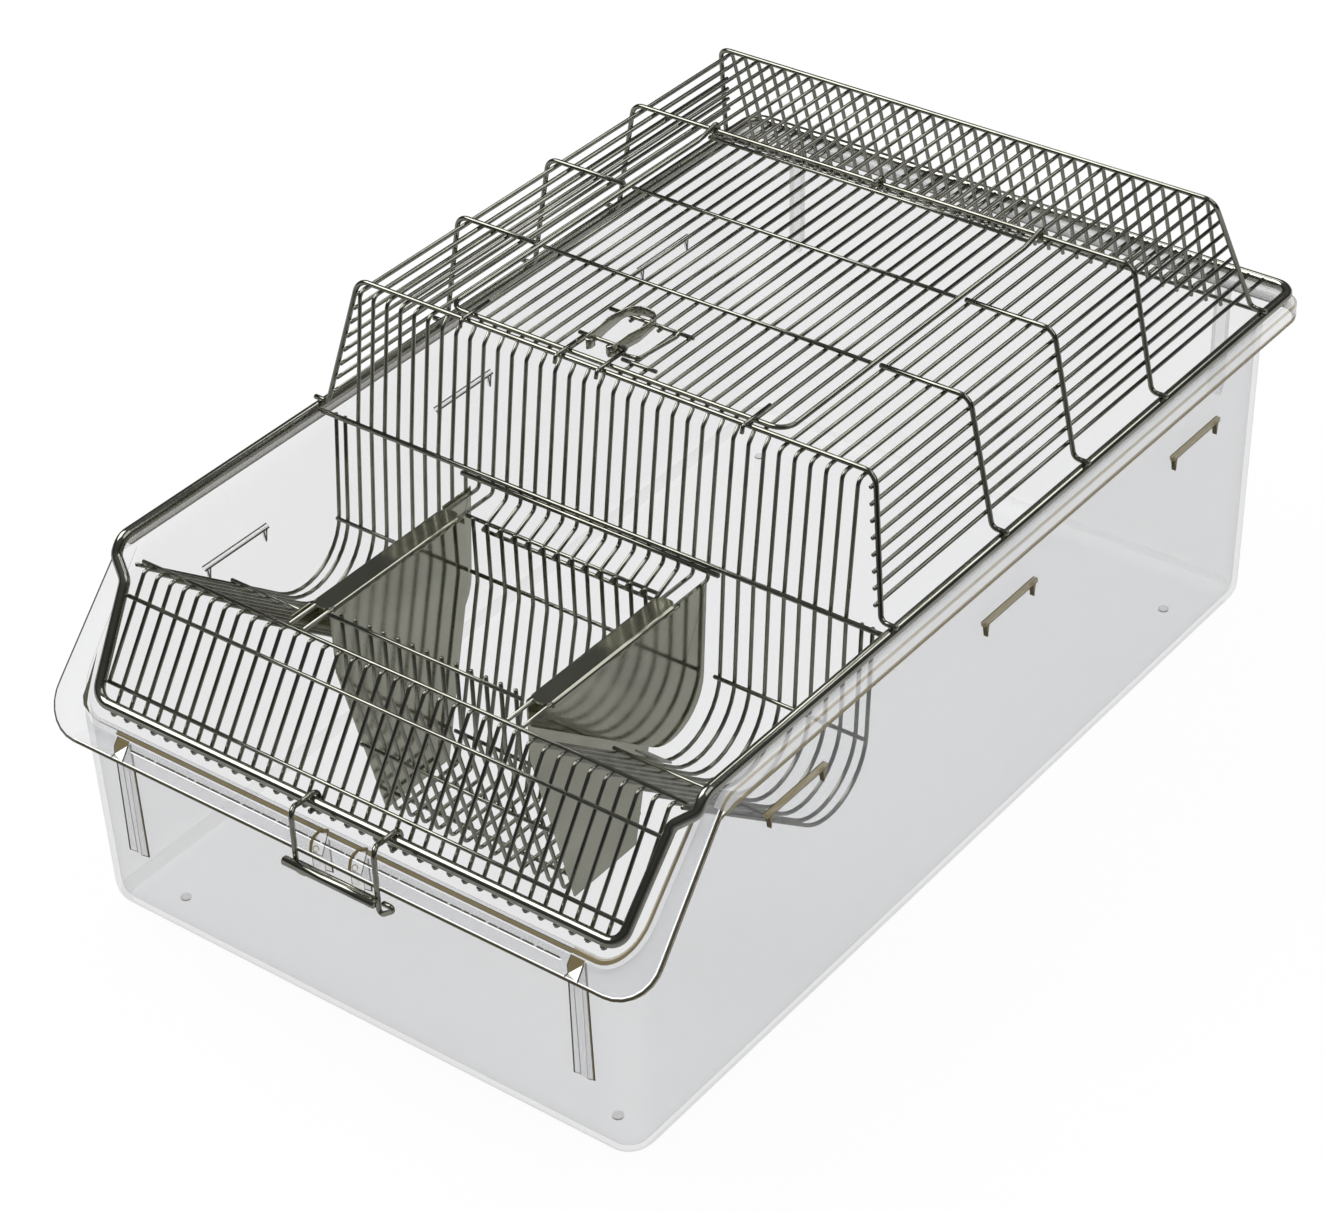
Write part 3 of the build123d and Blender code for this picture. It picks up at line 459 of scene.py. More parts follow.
def rim_plan(inset):
    """Outline of the rim in its own bent sheet, drawn in from its outer edge; same stations as the walls."""
    half = []
    rear_t = rim_rear_y - rim_head_y
    cx = rim_half - rim_corner_radius
    ct = rear_t - rim_corner_radius
    radius = rim_corner_radius - inset
    for i in range(rear_steps):
        half.append((cx * i / rear_steps, rear_t - inset))
    for i in range(corner_steps + 1):
        angle = pi / 2 * (1 - i / corner_steps)
        half.append((cx + radius * cos(angle), ct + radius * sin(angle)))
    for i in range(1, side_count):
        t = sheet_t(side_y(i / side_count))
        half.append((flared_half(t) - inset, t))
    ft = -(front_rim_length - front_rim_corner_radius)
    fx = flared_half(ft) - front_rim_corner_radius
    radius = front_rim_corner_radius - inset
    start_t = sheet_t(-wall_side_y)
    straight = start_t - ft
    arc = radius * pi / 2
    for i in range(corner_steps + 1):
        run = (straight + arc) * i / corner_steps
        if run <= straight:
            half.append((flared_half(start_t - run) - inset, start_t - run))
        else:
            angle = -(run - straight) / radius
            half.append((fx + radius * cos(angle), ft + radius * sin(angle)))
    for i in range(1, rear_steps + 1):
        half.append((fx * (1 - i / rear_steps), -front_rim_length + inset))
    return half + [(-x, t) for x, t in half[-2:0:-1]]


def rim_ring(inset, depth):
    """Ring on the rim's sheet at one depth below it, at most the depth of the edge."""
    return [on_sheet(x, t, min(depth, skirt_at(t))) for x, t in rim_plan(inset)]


def skirt_ring(inset, above):
    """Ring a little above the foot of the rim's edge."""
    return [on_sheet(x, t, max(skirt_at(t) - above, least_edge)) for x, t in rim_plan(inset)]


def wall_ring(inset, share, top_depth, bottom_z):
    """Ring of the wall at a share of the way down from the rim's sheet to a level above the floor."""
    points = []
    top_plan = wall_plan((tub_height - foot_height) * wall_draft - inset)
    tops = [on_sheet(x, sheet_t(y), top_depth).z for x, y in top_plan]
    for i, top in enumerate(tops):
        z = top + (bottom_z - top) * share
        plan = wall_plan((z - foot_height) * wall_draft - inset)
        x, y = plan[i]
        if share == 0.0:
            points.append(on_sheet(x, sheet_t(y), top_depth))
        else:
            points.append(Vector((x, y, z)))
    return points


def floor_ring(inset, z):
    """Level ring drawn in from the foot of the walls."""
    return [Vector((x, y, z)) for x, y in wall_plan(-inset)]


# Marks of faces: how deep the plastic is behind them, and how much painted light they carry; a second number above
# nought paints a highlight or a faint glow into the face
CLEAR = (0.0, 0.0)
AMBER = (0.7, 0.0)
DIM_AMBER = (0.38, 0.0)
DARK = (0.95, 0.0)
PAINTED_HIGHLIGHT = (0.0, 1.0)
PAINTED_PALE_GLOW = (0.03, 0.5)
PAINTED_FAINT_GLOW = (0.0, 0.22)
SOFT_AMBER = (0.48, 0.0)
PAINTED_BRIGHT_LINE = (0.0, 0.6)
FLOOR_EDGE = (0.08, 0.0)
RIB_FRONT_PAINTED_GLOW = (0.0, 0.25)
REAR_RIB = (0.15, 0.0)
FOOT_SHADE = (0.6, 0.0)
FOOT_FACE_PAINTED_HIGHLIGHT = (0.0, 0.5)
RIGHT_LEDGE = (0.44, 0.0)
RIGHT_LEG = (0.85, 0.0)
RIGHT_LEG_END = (0.5, 0.0)
LEFT_LEDGE_PAINTED_LIGHT = (0.0, 0.8)


def build_tub():
    """The clear tub: inner floor, inner walls, rim, skirt, outer walls and outer floor in one closed skin."""
    rings = []
    strips = []

    def add(ring, strip=CLEAR):
        """One ring, and the mark of the strip that runs from it to the next."""
        rings.append(ring)
        strips.append(strip)

    stations = rim_plan(0.0)
    size = len(stations)
    left_ear_x = -160.0
    front_left_x, front_right_x = -154.0, 163.0
    right_edge_end = 400.0
    rear_start = rim_rear_y - rim_head_y - rim_corner_radius

    def edge(flat, left, front):
        """Marks round the rim: its flat part, the left ear and the rest of the slope."""
        return [flat if t >= -bend_reach else left if x < left_ear_x else front for x, t in stations]

    def across_front(mark):
        return [mark if t < -bend_reach and front_left_x < x < front_right_x else CLEAR for x, t in stations]

    def across_rear(mark, other=CLEAR):
        return [mark if t > rear_start else other for x, t in stations]

    def right_wall(mark, others):
        """The mark along the right wall, and the other marks elsewhere."""
        return [mark if x > front_right_x and t < right_edge_end else other for (x, t), other in zip(stations, others)]

    def floor_bend(radius, angle, wall, level):
        """Ring of the rounded floor edge at an angle round it."""
        height = radius * (1 - cos(angle))
        return floor_ring(wall + radius * (1 - sin(angle)) - height * wall_draft, level + height)

    inner_radius = floor_edge_radius - wall_thickness
    floor_z = foot_height + wall_thickness
    # A painted highlight line runs along the rear of the inner floor's rounded edge.
    for i in range(5):
        strip = across_rear(PAINTED_BRIGHT_LINE) if i == 2 else CLEAR
        add(floor_bend(inner_radius, pi / 2 * i / 4, wall_thickness, floor_z), strip)
    low_inner = floor_z + inner_radius
    for share in (0.66, 0.33, 0.04):
        add(wall_ring(wall_thickness, share, 0.0, low_inner))
    add(wall_ring(wall_thickness, 0.0, 0.6, low_inner))
    # Along the front of the slope, the wall's top edge carries a faint painted glow.
    wall_top_profile = (
        (wall_thickness - 0.4, right_wall(SOFT_AMBER, across_front(CLEAR))),
        (1.9, right_wall(AMBER, edge(CLEAR, SOFT_AMBER, DARK))),
        (1.65, right_wall(AMBER, across_front(AMBER))),
        (0.45, across_front(DARK)),
        (0.25, edge(CLEAR, CLEAR, PAINTED_FAINT_GLOW)),
    )
    for inset, strip in wall_top_profile:
        add(wall_ring(inset, 0.0, 0.0, low_inner), strip)
    # On the flat part the rim and its outer face carry a pale painted glow; down the slope, a faint painted glow and
    # painted highlight bands inside its edge.
    rim_profile = (
        (5.0, 0.0, PAINTED_PALE_GLOW, CLEAR, PAINTED_FAINT_GLOW), (2.1, 0.0, PAINTED_PALE_GLOW, CLEAR, PAINTED_HIGHLIGHT), (1.4, 0.02, DIM_AMBER, DARK, DARK),
        (0.8, 0.05, DIM_AMBER, DARK, DARK), (0.3, 0.2, DIM_AMBER, DARK, DARK), (0.0, 0.6, PAINTED_PALE_GLOW, CLEAR, PAINTED_HIGHLIGHT),
    )
    for inset, depth, flat, left, front in rim_profile:
        add(rim_ring(inset, depth), edge(flat, left, front))
    for inset, above, flat in ((0.0, 3.4, DIM_AMBER), (0.0, 1.5, SOFT_AMBER), (0.3, 0.0, AMBER)):
        add(skirt_ring(inset, above), edge(flat, CLEAR, AMBER))
    add(skirt_ring(skirt_thickness - 0.3, 0.0))
    add(skirt_ring(skirt_thickness, 0.3))
    add(rim_ring(skirt_thickness, rim_thickness + 1.0))
    add(rim_ring(skirt_thickness + 1.0, rim_thickness))
    low_outer = foot_height + floor_edge_radius
    add(wall_ring(-0.6, 0.0, rim_thickness, low_outer))
    for share in (0.06, 0.33, 0.66):
        add(wall_ring(0.0, share, rim_thickness, low_outer))
    for i in range(7):
        strip = across_rear(CLEAR, FLOOR_EDGE) if 1 < i < 4 else CLEAR
        add(floor_bend(floor_edge_radius, pi / 2 * (1 - i / 6), 0.0, foot_height), strip)
    verts = [p * MM for ring in rings for p in ring]
    faces = []
    marks = []
    for r in range(len(rings) - 1):
        for i in range(size):
            j = (i + 1) % size
            faces.append((r * size + j, r * size + i, (r + 1) * size + i, (r + 1) * size + j))
            marks.append(strips[r] if isinstance(strips[r], tuple) else strips[r][i])
    faces.append(tuple(range(size)))
    last = (len(rings) - 1) * size
    faces.append(tuple(last + i for i in reversed(range(size))))
    marks += [CLEAR, CLEAR]
    piece = make_piece("clear_tub", verts, faces, clear_plastic, "tub", ("tub",))
    mark_faces(piece, marks)


def mark_faces(piece, marks):
    """Keeps for each face how deep the plastic is behind it and how much painted light it carries."""
    for name, number in (("edge_depth", 0), ("painted_light", 1)):
        attribute = piece.data.attributes.new(name, "FLOAT", "FACE")
        attribute.data.foreach_set("value", [mark[number] for mark in marks])


build_tub()


def prism(verts, faces, marks, outline, low, high, axis, edge_mark, face_mark):
    """Straight prism of an outline between two places along an axis; its sides and its ends are marked apart."""
    base = len(verts)
    count = len(outline)
    for place in (low, high):
        for a, b in outline:
            verts.append(Vector((place, a, b) if axis == "x" else (a, b, place)) * MM)
    for i in range(count):
        j = (i + 1) % count
        faces.append((base + i, base + j, base + count + j, base + count + i))
        marks.append(edge_mark[i] if isinstance(edge_mark, list) else edge_mark)
    faces.append(tuple(base + i for i in reversed(range(count))))
    faces.append(tuple(base + count + i for i in range(count)))
    marks.extend((face_mark, face_mark))


def soften(piece, width):
    """Small rounded edges."""
    rounding = piece.modifiers.new("rounded_edges", "BEVEL")
    rounding.width = width * MM
    rounding.segments = 2
    rounding.limit_method = "ANGLE"


def front_y(z):
    """Outside of the front wall at a height."""
    return -(tub_length / 2 + (z - foot_height) * wall_draft)


def under_rim(y, depth):
    """Height of the rim's underside over a place on the slope."""
    return on_sheet(0.0, sheet_t(y), depth).z


# Ribs and lugs under the rim, stacking ledges on the long walls, and feet
skin = 0.05
rib_width = 8.0
rib_depth = 4.5
rib_setback = 2.0
rib_top_z = 120.0
rim_wall_z = 126.0
corner_rib_x = 144.0
corner_rib_foot_z = 50.0
lug_x = 12.4
lug_foot_z = 103.0
rear_rib_foot_z = 125.0
rear_rib_top_z = 190.0
rib_head_setback = 1.6
step_drop = 3.6
step_left_x = front_shift - 137.0
step_right_x = front_shift + 136.0
step_least = 4.0
step_runs = (9.0, 5.5, 13.0, 7.0, 4.0)
step_breaks = (0.9, 1.6, 0.7)
ledge_level = 152.0
ledge_half = 24.5
ledge_places = (-162.0, 24.0, 208.0)
leg_inner, leg_tip, leg_outer = 20.4, 21.6, 22.8
leg_drop = 7.5
foot_radius = 3.0
foot_inset = 32.0
front_foot_inset = 27.0
rear_foot_inset = 39.0
# Reflection in the left corner of the rim, by places across and down the slope
corner_sliver = [
    (-175.4, 59.8), (-173.6, 76.0), (-173.1, 84.0), (-170.5, 88.0),
    (-164.5, 90.7), (-168.6, 87.0), (-170.5, 81.6), (-172.2, 74.0),
]
wall_down = (rim_head_y - front_y(rim_wall_z)) / rim_cos


def on_rim(places, depth=0.0):
    """Points on the sloping rim, given by places across and down it."""
    return [on_sheet(x, -down, depth) for x, down in places]


def build_tub_details():
    """All small forms of the tub in one piece."""
    verts, faces, marks = [], [], []

    def block(outline, ends, side_mark, end_mark):
        """Prism across the cage."""
        prism(verts, faces, marks, outline, *ends, "x", side_mark, end_mark)

    def patch(places, mark):
        """Thin facet laid on the sloping rim."""
        base = len(verts)
        verts.extend(p * MM for p in on_rim(places, -skin))
        faces.append(tuple(base + i for i in range(len(places))))
        marks.append(mark)

    def line(points, radius, mark):
        """Thin line of plastic along an edge."""
        before = len(faces)
        add_tube(verts, faces, points, radius, 6)
        marks.extend([mark] * (len(faces) - before))

    def rib(middle, foot_z, lug):
        """Clear channel down the front wall, with dark lines on its left edges and an amber line on its right."""
        left, right = middle - rib_width / 2, middle + rib_width / 2
        outer = front_y(foot_z + rib_depth) - rib_depth
        edge = on_sheet(0.0, rib_setback - front_rim_length, rim_thickness + skin)
        top = under_rim(front_y(rib_top_z), rim_thickness) - skin
        gusset = bent([mid(outer, edge.z - 14.0), mid(outer, edge.z - 4.0), edge], 9.0, 15.0)
        wall_edge = [mid(front_y(foot_z) - skin, foot_z), mid(front_y(top) - skin, top)]
        outline = [wall_edge[0], mid(outer, foot_z + rib_depth)] + gusset + [wall_edge[1]]
        outer_edge, foot_edge = outline[1:-2], outline[:2]
        # A rib's faces carry a faint painted glow, and a lug's faces a pale painted glow.
        looks = (PAINTED_PALE_GLOW, PAINTED_PALE_GLOW) if lug else (RIB_FRONT_PAINTED_GLOW, CLEAR)
        block([(p.y, p.z) for p in outline], (left, right), *looks)
        for points, x, radius, mark in (
            (outer_edge, left, 0.2 if lug else 0.35, SOFT_AMBER if lug else DARK),
            (wall_edge, left, 0.2, DARK),
            (outer_edge, right, 0.14, DIM_AMBER),
            (wall_edge, right, 0.25 if lug else 0.5, AMBER),
            (wall_edge, right + 0.5, 0.2, DARK),
            (foot_edge, left, 0.2, DARK),
            (foot_edge, right, 0.2, DARK),
        ):
            line(at_x(points, x), radius, mark)
        if lug:
            lug_head(left, right)
        else:
            rib_head(left, right)

    def rib_head(left, right):
        """An amber facet and a facet of painted highlight between dark lines, where a corner rib meets the rim."""
        front = front_rim_length - rib_head_setback
        shoulder, corner, foot = wall_down + 2.0, wall_down + 5.0, wall_down + 8.5
        tip = left + 2.2
        patch([(left, wall_down), (left, corner), (tip, foot), (right, shoulder), (right, wall_down)], AMBER)
        patch([(tip, foot), (right, front), (right, shoulder)], PAINTED_HIGHLIGHT)
        line(on_rim([(right, shoulder), (right + 0.6, front)]), 0.35, DARK)
        line(on_rim([(tip, foot), (left + 1.0, front)]), 0.35, DARK)
        line(on_rim([(left, wall_down), (left, corner), (tip, foot)]), 0.25, DARK)

    def lug_head(left, right):
        """Amber curl with a dark line beside it, a face of pale painted glow and a small ring, on a lug."""
        top = wall_down - 3.2
        curl = [(right - 1.5, 0.0), (left + 2.4, 1.8), (left + 0.4, 5.5), (left + 0.2, 9.0), (left + 1.6, 13.0)]
        for aside, size, mark in ((0.0, 0.75, AMBER), (-0.8, 0.2, DARK)):
            line(on_rim([(x + aside, top + down) for x, down in curl]), size, mark)
        line(on_rim([(right - 1.2, top + 1.0), (right + 1.0, top + 12.6), (left + 1.6, top + 13.0)]), 0.22, DARK)
        face = [(right - 1.6, 1.5), (left + 2.4, 3.4), (left + 1.4, 9.0), (left + 2.4, 12.4), (right + 0.5, 12.2)]
        patch([(x, top + down) for x, down in face], PAINTED_PALE_GLOW)
        angles = [pi * i / 5 for i in range(10)]
        ring = [(left + 4.0 + 1.7 * cos(angle), top + 10.8 - 1.5 * sin(angle)) for angle in angles]
        line(on_rim(ring), 0.3, SOFT_AMBER)

    def step_line():
        """Broken dark line and a painted highlight line where the rim's sheet steps down, between the corner ribs."""
        down = wall_down + step_drop
        x = step_left_x
        number = 0
        while x < step_right_x - step_least:
            run = step_runs[number % len(step_runs)]
            line(on_rim([(x, down), (min(x + run, step_right_x), down)]), 0.4, DARK)
            x += run + step_breaks[number % len(step_breaks)]
            number += 1
        line(on_rim([(step_left_x, down + 0.9), (step_right_x, down + 0.9)]), 0.2, PAINTED_HIGHLIGHT)

    def ledge(y, side):
        """Slim stacking bar outside a long wall, on two pointed legs; amber on the right, and painted light on the
        left bar and the ends of its legs.
        """
        wall_x = tub_width / 2 + (ledge_level - foot_height) * wall_draft + skin
        if side > 0:
            thick, low, high, leg_line = 2.5, 150.9, 153.1, 0.16
            face, leg_looks = RIGHT_LEDGE, (RIGHT_LEG, RIGHT_LEG_END)
            edges = ((0.0, high, 0.22), (thick, low, 0.15))
        else:
            thick, low, high, leg_line = 1.7, 151.2, 152.9, 0.4
            face, leg_looks = LEFT_LEDGE_PAINTED_LIGHT, (CLEAR, PAINTED_PALE_GLOW)
            edges = ((thick, high, 0.5), (0.0, low, 0.58))
        ends = sorted((side * wall_x, side * (wall_x + thick)))
        front, rear = y - ledge_half, y + ledge_half
        block([(front, low), (rear, low), (rear, high), (front, high)], ends, face, face)
        for out, z, radius in edges:
            line([Vector((side * (wall_x + out), end_y, z)) for end_y in (front, rear)], radius, DARK)
        for end in (-1, 1):
            tip = (y + end * leg_tip, low - leg_drop)
            leg = [(y + end * leg_inner, low), (y + end * leg_outer, low), tip]
            block(leg if end > 0 else leg[::-1], ends, *leg_looks)
            for top in leg[:2]:
                line([Vector((side * wall_x, *place)) for place in (top, tip)], leg_line, DARK)

    rear_foot_y, rear_top_y = -front_y(rear_rib_foot_z), -front_y(rear_rib_top_z)
    bulge_z, rear_top_z = rear_rib_foot_z + rib_depth, rim_z - rim_thickness - skin
    rear_rib = [
        (rear_top_y + skin, rear_top_z), (rear_top_y + rib_depth, rear_top_z),
        (rib_depth - front_y(bulge_z), bulge_z), (rear_foot_y + skin, rear_rib_foot_z),
    ]
    for side in (-1, 1):
        rib(front_shift + side * corner_rib_x, corner_rib_foot_z, False)
        rib(front_shift + side * lug_x, lug_foot_z, True)
        middle = side * corner_rib_x
        block(rear_rib, (middle - rib_width / 2, middle + rib_width / 2), CLEAR, REAR_RIB)
        for y in ledge_places:
            ledge(y, side)
        for y in (-tub_length / 2 + front_foot_inset, tub_length / 2 - rear_foot_inset):
            foot_x = side * (tub_width / 2 - foot_inset)
            angles = [pi * i / 8 for i in range(16)]
            outline = [(foot_x + foot_radius * cos(angle), y + foot_radius * sin(angle)) for angle in angles]
            shade = [FOOT_SHADE if angle > pi else CLEAR for angle in angles]
            # Each foot's end faces carry a painted highlight, and its front half is painted shade.
            prism(verts, faces, marks, outline, 0.0, foot_height, "z", shade, FOOT_FACE_PAINTED_HIGHLIGHT)
    step_line()
    patch(corner_sliver, DARK)
    piece = make_piece("tub_ribs_ledges_feet", verts, faces, clear_plastic, "tub", smooth=False)
    mark_faces(piece, marks)


build_tub_details()

# Perimeter rod: straight a little way down the slope, then joggled inwards and narrowing to the front
joggle_start, joggle_end = 7.5, 17.5
joggle_in = 10.5
rod_front_in = 16.0
rod_bends = [10.0, 9.0, 6.0, 7.0, 9.0]
rod_front = on_slope(0.0, slope_rod_length, rod_lift)
rod_half = bent(
    [
        Vector((0, rod_rear_y, rod_z)),
        Vector((rod_x, rod_rear_y, rod_z)),
        on_slope(rod_x, -rod_lift * tan(radians(slope_angle / 2)), rod_lift),
        on_slope(rod_x, joggle_start, rod_lift),
        on_slope(rod_x - joggle_in, joggle_end, rod_lift),
        on_slope(rod_x - rod_front_in, slope_rod_length, rod_lift),
        rod_front,
    ],
    rod_bends,
)
rod_loop = rod_half + [Vector((-p.x, p.y, p.z)) for p in rod_half[-2:0:-1]]
wires("perimeter_rod", [rod_loop], radius=rod_radius, sides=16, closed=True, material=rod_steel)

# Paths of the grid wires, all in planes of constant x
wire_foot_reach = 5.5
slope_head_down = 8.6
short_wire_cut = 9.0
well_corner_setback = 10.5
head_bar_setback = 4.0
face_bend_drop = mid(5.7, 6.5)
sill_gap = 0.3
face_foot_bend, face_top_bend, roof_bend, rear_bend = 6.0, 3.0, 4.5, 4.0
slope_wire_lift = rod_lift - rod_radius - wire_radius
slope_foot = on_slope(0.0, slope_rod_length + wire_foot_reach, slope_wire_lift)
slope_head = on_slope(0.0, slope_head_down, slope_wire_lift)
well_corner = mid(face_foot_y - well_corner_setback, well_corner_z)
face_foot = mid(face_foot_y, face_foot_z)
floor_along = (well_corner - slope_head).normalized()
floor_up = Vector((0, -floor_along.z, floor_along.y))
head_bar = slope_head + floor_along * head_bar_setback + floor_up * wire_diameter
front_hoop_top = mid(front_hoop_y, hoop_z)
face_bend = front_hoop_top - face_bend_drop
face_tip = front_hoop_top - (front_hoop_top - face_bend).normalized() * (hoop_radius + weld_gap)
roof_corner = mid(face_bend.y, roof_z)
rear_corner = mid(rear_hoop_y + 2 * hoop_radius, roof_z)
rear_sill = mid(rear_sill_y, rod_z)
rear_fall = rear_sill - rear_corner
rear_inward = Vector((0, rear_fall.z, -rear_fall.y)).normalized()
rear_foot = rear_sill + rear_inward * (wire_diameter + sill_gap) + rear_fall.normalized() * wire_diameter


def grid(path, numbers):
    """The same path at the places of the numbered grid wires."""
    return [at_x(path, wire_pitch * number) for number in numbers]


def span(first, last):
    """Numbers of the wires from the first to the last."""
    return range(first, last + 1)


well_start = [slope_foot, slope_head, well_corner, face_foot]
well_bends = [wire_bend, well_radius, face_foot_bend]
well_face = bent(well_start + [face_bend, face_tip], well_bends + [face_top_bend])
well_roof = bent(well_start + [roof_corner, rear_corner, rear_foot], well_bends + [roof_bend, rear_bend])
short_foot = on_slope(0.0, slope_rod_length - short_wire_cut, slope_wire_lift)
well_short = bent([short_foot] + well_start[1:], well_bends[:2])
well_edge = bent([slope_head - floor_up * weld_gap, well_corner, face_foot], [well_radius])
for side_name, side in SIDES:
    paths = grid(well_face, [side * n for n in span(rail_wires[1] + 1, bay_wires_each_side)])
    paths.append(at_x(well_short, side * wires_each_side * wire_pitch))
    paths.append(at_x(well_edge, side * edge_wire_x))
    wires(side_name + "_well_wires", paths)
    paths = grid(well_roof, [side * n for n in span(bay_wires_each_side + 1, roof_wires_each_side)])
    wires(side_name + "_roof_wires", paths)

slope_bend = 2.0
bar_way = (head_bar - slope_head).normalized()
slope_path = bent([slope_foot, slope_head, head_bar - bar_way * (wire_radius + weld_gap)], slope_bend)
wires("slope_wires", grid(slope_path, span(-rail_wires[1], rail_wires[1])))

# Weld beads where the slope's wires meet the front rod
bead_radius = 2.0
bead_ends = (1.6, 4.9)
paths = []
for number in span(-roof_wires_each_side, roof_wires_each_side):
    paths.append([on_slope(number * wire_pitch, slope_rod_length + down, slope_wire_lift) for down in bead_ends])
round_wires("front_weld_beads", paths, "lid", bead_radius, 8)

# Shelf behind the hopper, rails for the dividers, rear roof and ledge behind it
shelf_setback, shelf_drop = 1.0, 10.0
shelf_step = mid(-19.0, -8.0)
shelf_bend_radius = 4.0
rail_drop = 8.0
rail_gap = 0.2
rail_bends = [4.0, 3.0]
shelf_bend = mid(face_foot_y - shelf_setback, face_foot_z - shelf_drop)
shelf_along = shelf_step.normalized()
shelf_up = Vector((0, shelf_along.z, -shelf_along.y))
shelf_end = shelf_bend + shelf_step
rail_z = rim_z - rail_drop
face_start = [face_tip, face_bend, face_foot]
shelf_tip = shelf_end + shelf_along * wire_overrun
shelf_path = bent(face_start + [shelf_bend, shelf_tip], [face_top_bend, face_foot_bend, shelf_bend_radius])
wires("shelf_wires", grid(shelf_path, span(-hopper_wires_each_side, hopper_wires_each_side)))
rail_end = mid(head_bar.y + wire_radius + rail_gap, rail_z)
rail_path = bent(face_start + [mid(shelf_bend.y, rail_z), rail_end], [face_top_bend] + rail_bends)
wires("divider_rails", grid(rail_path, [side * n for side in (-1, 1) for n in rail_wires]), material=rod_steel)
rear_path = bent([mid(hinge_hoop_y - hoop_radius - wire_overrun, roof_z), rear_corner, rear_foot], [rear_bend])
wires("rear_roof_wires", grid(rear_path, span(-bay_wires_each_side, bay_wires_each_side)))
ledge_z = rod_z + wire_diameter + weld_gap
ledge_path = [mid(rear_sill_y - wire_overrun, ledge_z), mid(rod_rear_y - rod_radius, ledge_z)]
wires("ledge_wires", grid(ledge_path, span(-wires_each_side, wires_each_side)))


def across(centre, x_from, x_to):
    """Straight wire across the cage."""
    return [Vector((x_from, centre.y, centre.z)), Vector((x_to, centre.y, centre.z))]


def bars(node, centres, reach, body="lid", radius=wire_radius):
    """Wires that reach equally far to both sides."""
    wires(node, [across(centre, -reach, reach) for centre in centres], body, radius)


# Cross wires; the slope's rods draw in by a first amount below the joggle and by a second down to the front
slope_crosses = (24.4, 68.4)
draw_in_start = 18.0
first_draw_in, second_draw_in = 10.0, 6.0
back_cross_drop = 63.0
floor_cross_run = 78.0
cross_paths = []
for down in slope_crosses:
    half_gap = rod_x - first_draw_in - second_draw_in * (down - draw_in_start) / (slope_rod_length - draw_in_start)
    reach = half_gap - rod_radius - weld_gap
    cross_paths.append(across(on_slope(0.0, down, slope_wire_lift + wire_diameter + weld_gap), -reach, reach))
wires("slope_cross_wires", cross_paths)
bars("slope_head_bar", [head_bar + floor_up * weld_gap], edge_wire_x)
face_bar = face_foot - mid(wire_radius + hoop_radius + contact_gap, 0.0)
bar_reach = rod_x - rod_radius - weld_gap
bars("face_bar", [face_bar], bar_reach, radius=hoop_radius)
well_first_x = (rail_wires[1] + 1) * wire_pitch
bars("face_stiffener", [face_bar - mid(wire_radius, 2 * hoop_radius + weld_gap)], well_first_x, radius=hoop_radius)
back_along = (face_foot - well_corner).normalized()
back_out = Vector((0, -back_along.z, back_along.y))
back_cross = face_foot - back_along * back_cross_drop + back_out * welded
floor_cross = slope_head + floor_along * floor_cross_run + floor_up * welded
for side_name, side in SIDES:
    ends = (side * (well_first_x - wire_diameter), side * edge_wire_x)
    wires(side_name + "_well_cross_wires", [across(back_cross, *ends), across(floor_cross, *ends)])
bars("shelf_bar", [shelf_end - shelf_up * welded], hopper_wires_each_side * wire_pitch + wire_diameter)
bars("rear_sill_wire", [rear_sill], bar_reach)

# Hopper
cheek_gap = 0.6
hopper_top_drop = 4.5
hopper_knee_drop = 43.5
hopper_depth = 145.0
hopper_front_setback = 19.5
hopper_rear_setback = 28.0
hopper_floor_in = 26.0
hopper_bends = [10.0, 4.0, 4.0, 10.0]
low_cross_share = 0.15
floor_bar_share = 0.25
cheek_inner_x = rail_wires[0] * wire_pitch - wire_radius - cheek_gap - sheet
cheek_outer_x = rail_wires[1] * wire_pitch + wire_radius + cheek_gap
hopper_top_z = rim_z - hopper_top_drop
hopper_floor_z = rim_z - hopper_depth
hopper_knee_z = rim_z - hopper_knee_drop
hopper_front_y = slope_head_y + hopper_front_setback
hopper_rear_y = face_foot_y - hopper_rear_setback
hopper_points = [
    mid(hopper_front_y, hopper_top_z), mid(hopper_front_y, hopper_knee_z),
    mid(hopper_front_y + hopper_floor_in, hopper_floor_z), mid(hopper_rear_y - hopper_floor_in, hopper_floor_z),
    mid(hopper_rear_y, hopper_knee_z), mid(hopper_rear_y, hopper_top_z),
]
front_knee, front_floor, rear_floor, rear_knee = hopper_points[1:5]
hopper_path = bent(hopper_points, hopper_bends)
wires("hopper_wires", grid(hopper_path, span(-hopper_wires_each_side, hopper_wires_each_side)))
hopper_reach = cheek_inner_x - weld_gap
bar_z = hopper_top_z - wire_diameter
bars("hopper_front_bar", [mid(hopper_front_y - wire_diameter - weld_gap, bar_z)], hopper_reach)
bars("hopper_rear_bar", [mid(hopper_rear_y + wire_diameter + weld_gap, bar_z)], hopper_reach)
slant = (front_floor - front_knee).normalized()
slant_out = Vector((0, slant.z, -slant.y))
middle_cross = (front_knee + front_floor) * 0.5 + slant_out * welded
low_cross = rear_floor * (1 - low_cross_share) + rear_knee * low_cross_share
low_cross += Vector((0, -slant_out.y, slant_out.z)) * welded
knee_cross = rear_knee + mid(welded, wire_diameter)
floor_bar = front_floor * (1 - floor_bar_share) + rear_floor * floor_bar_share - mid(0.0, welded)
bars("hopper_cross_wires", [middle_cross, low_cross, knee_cross, floor_bar], hopper_reach)

# Hoops
hoop_toe = 9.5
hoop_bends = [4.0, 8.0]


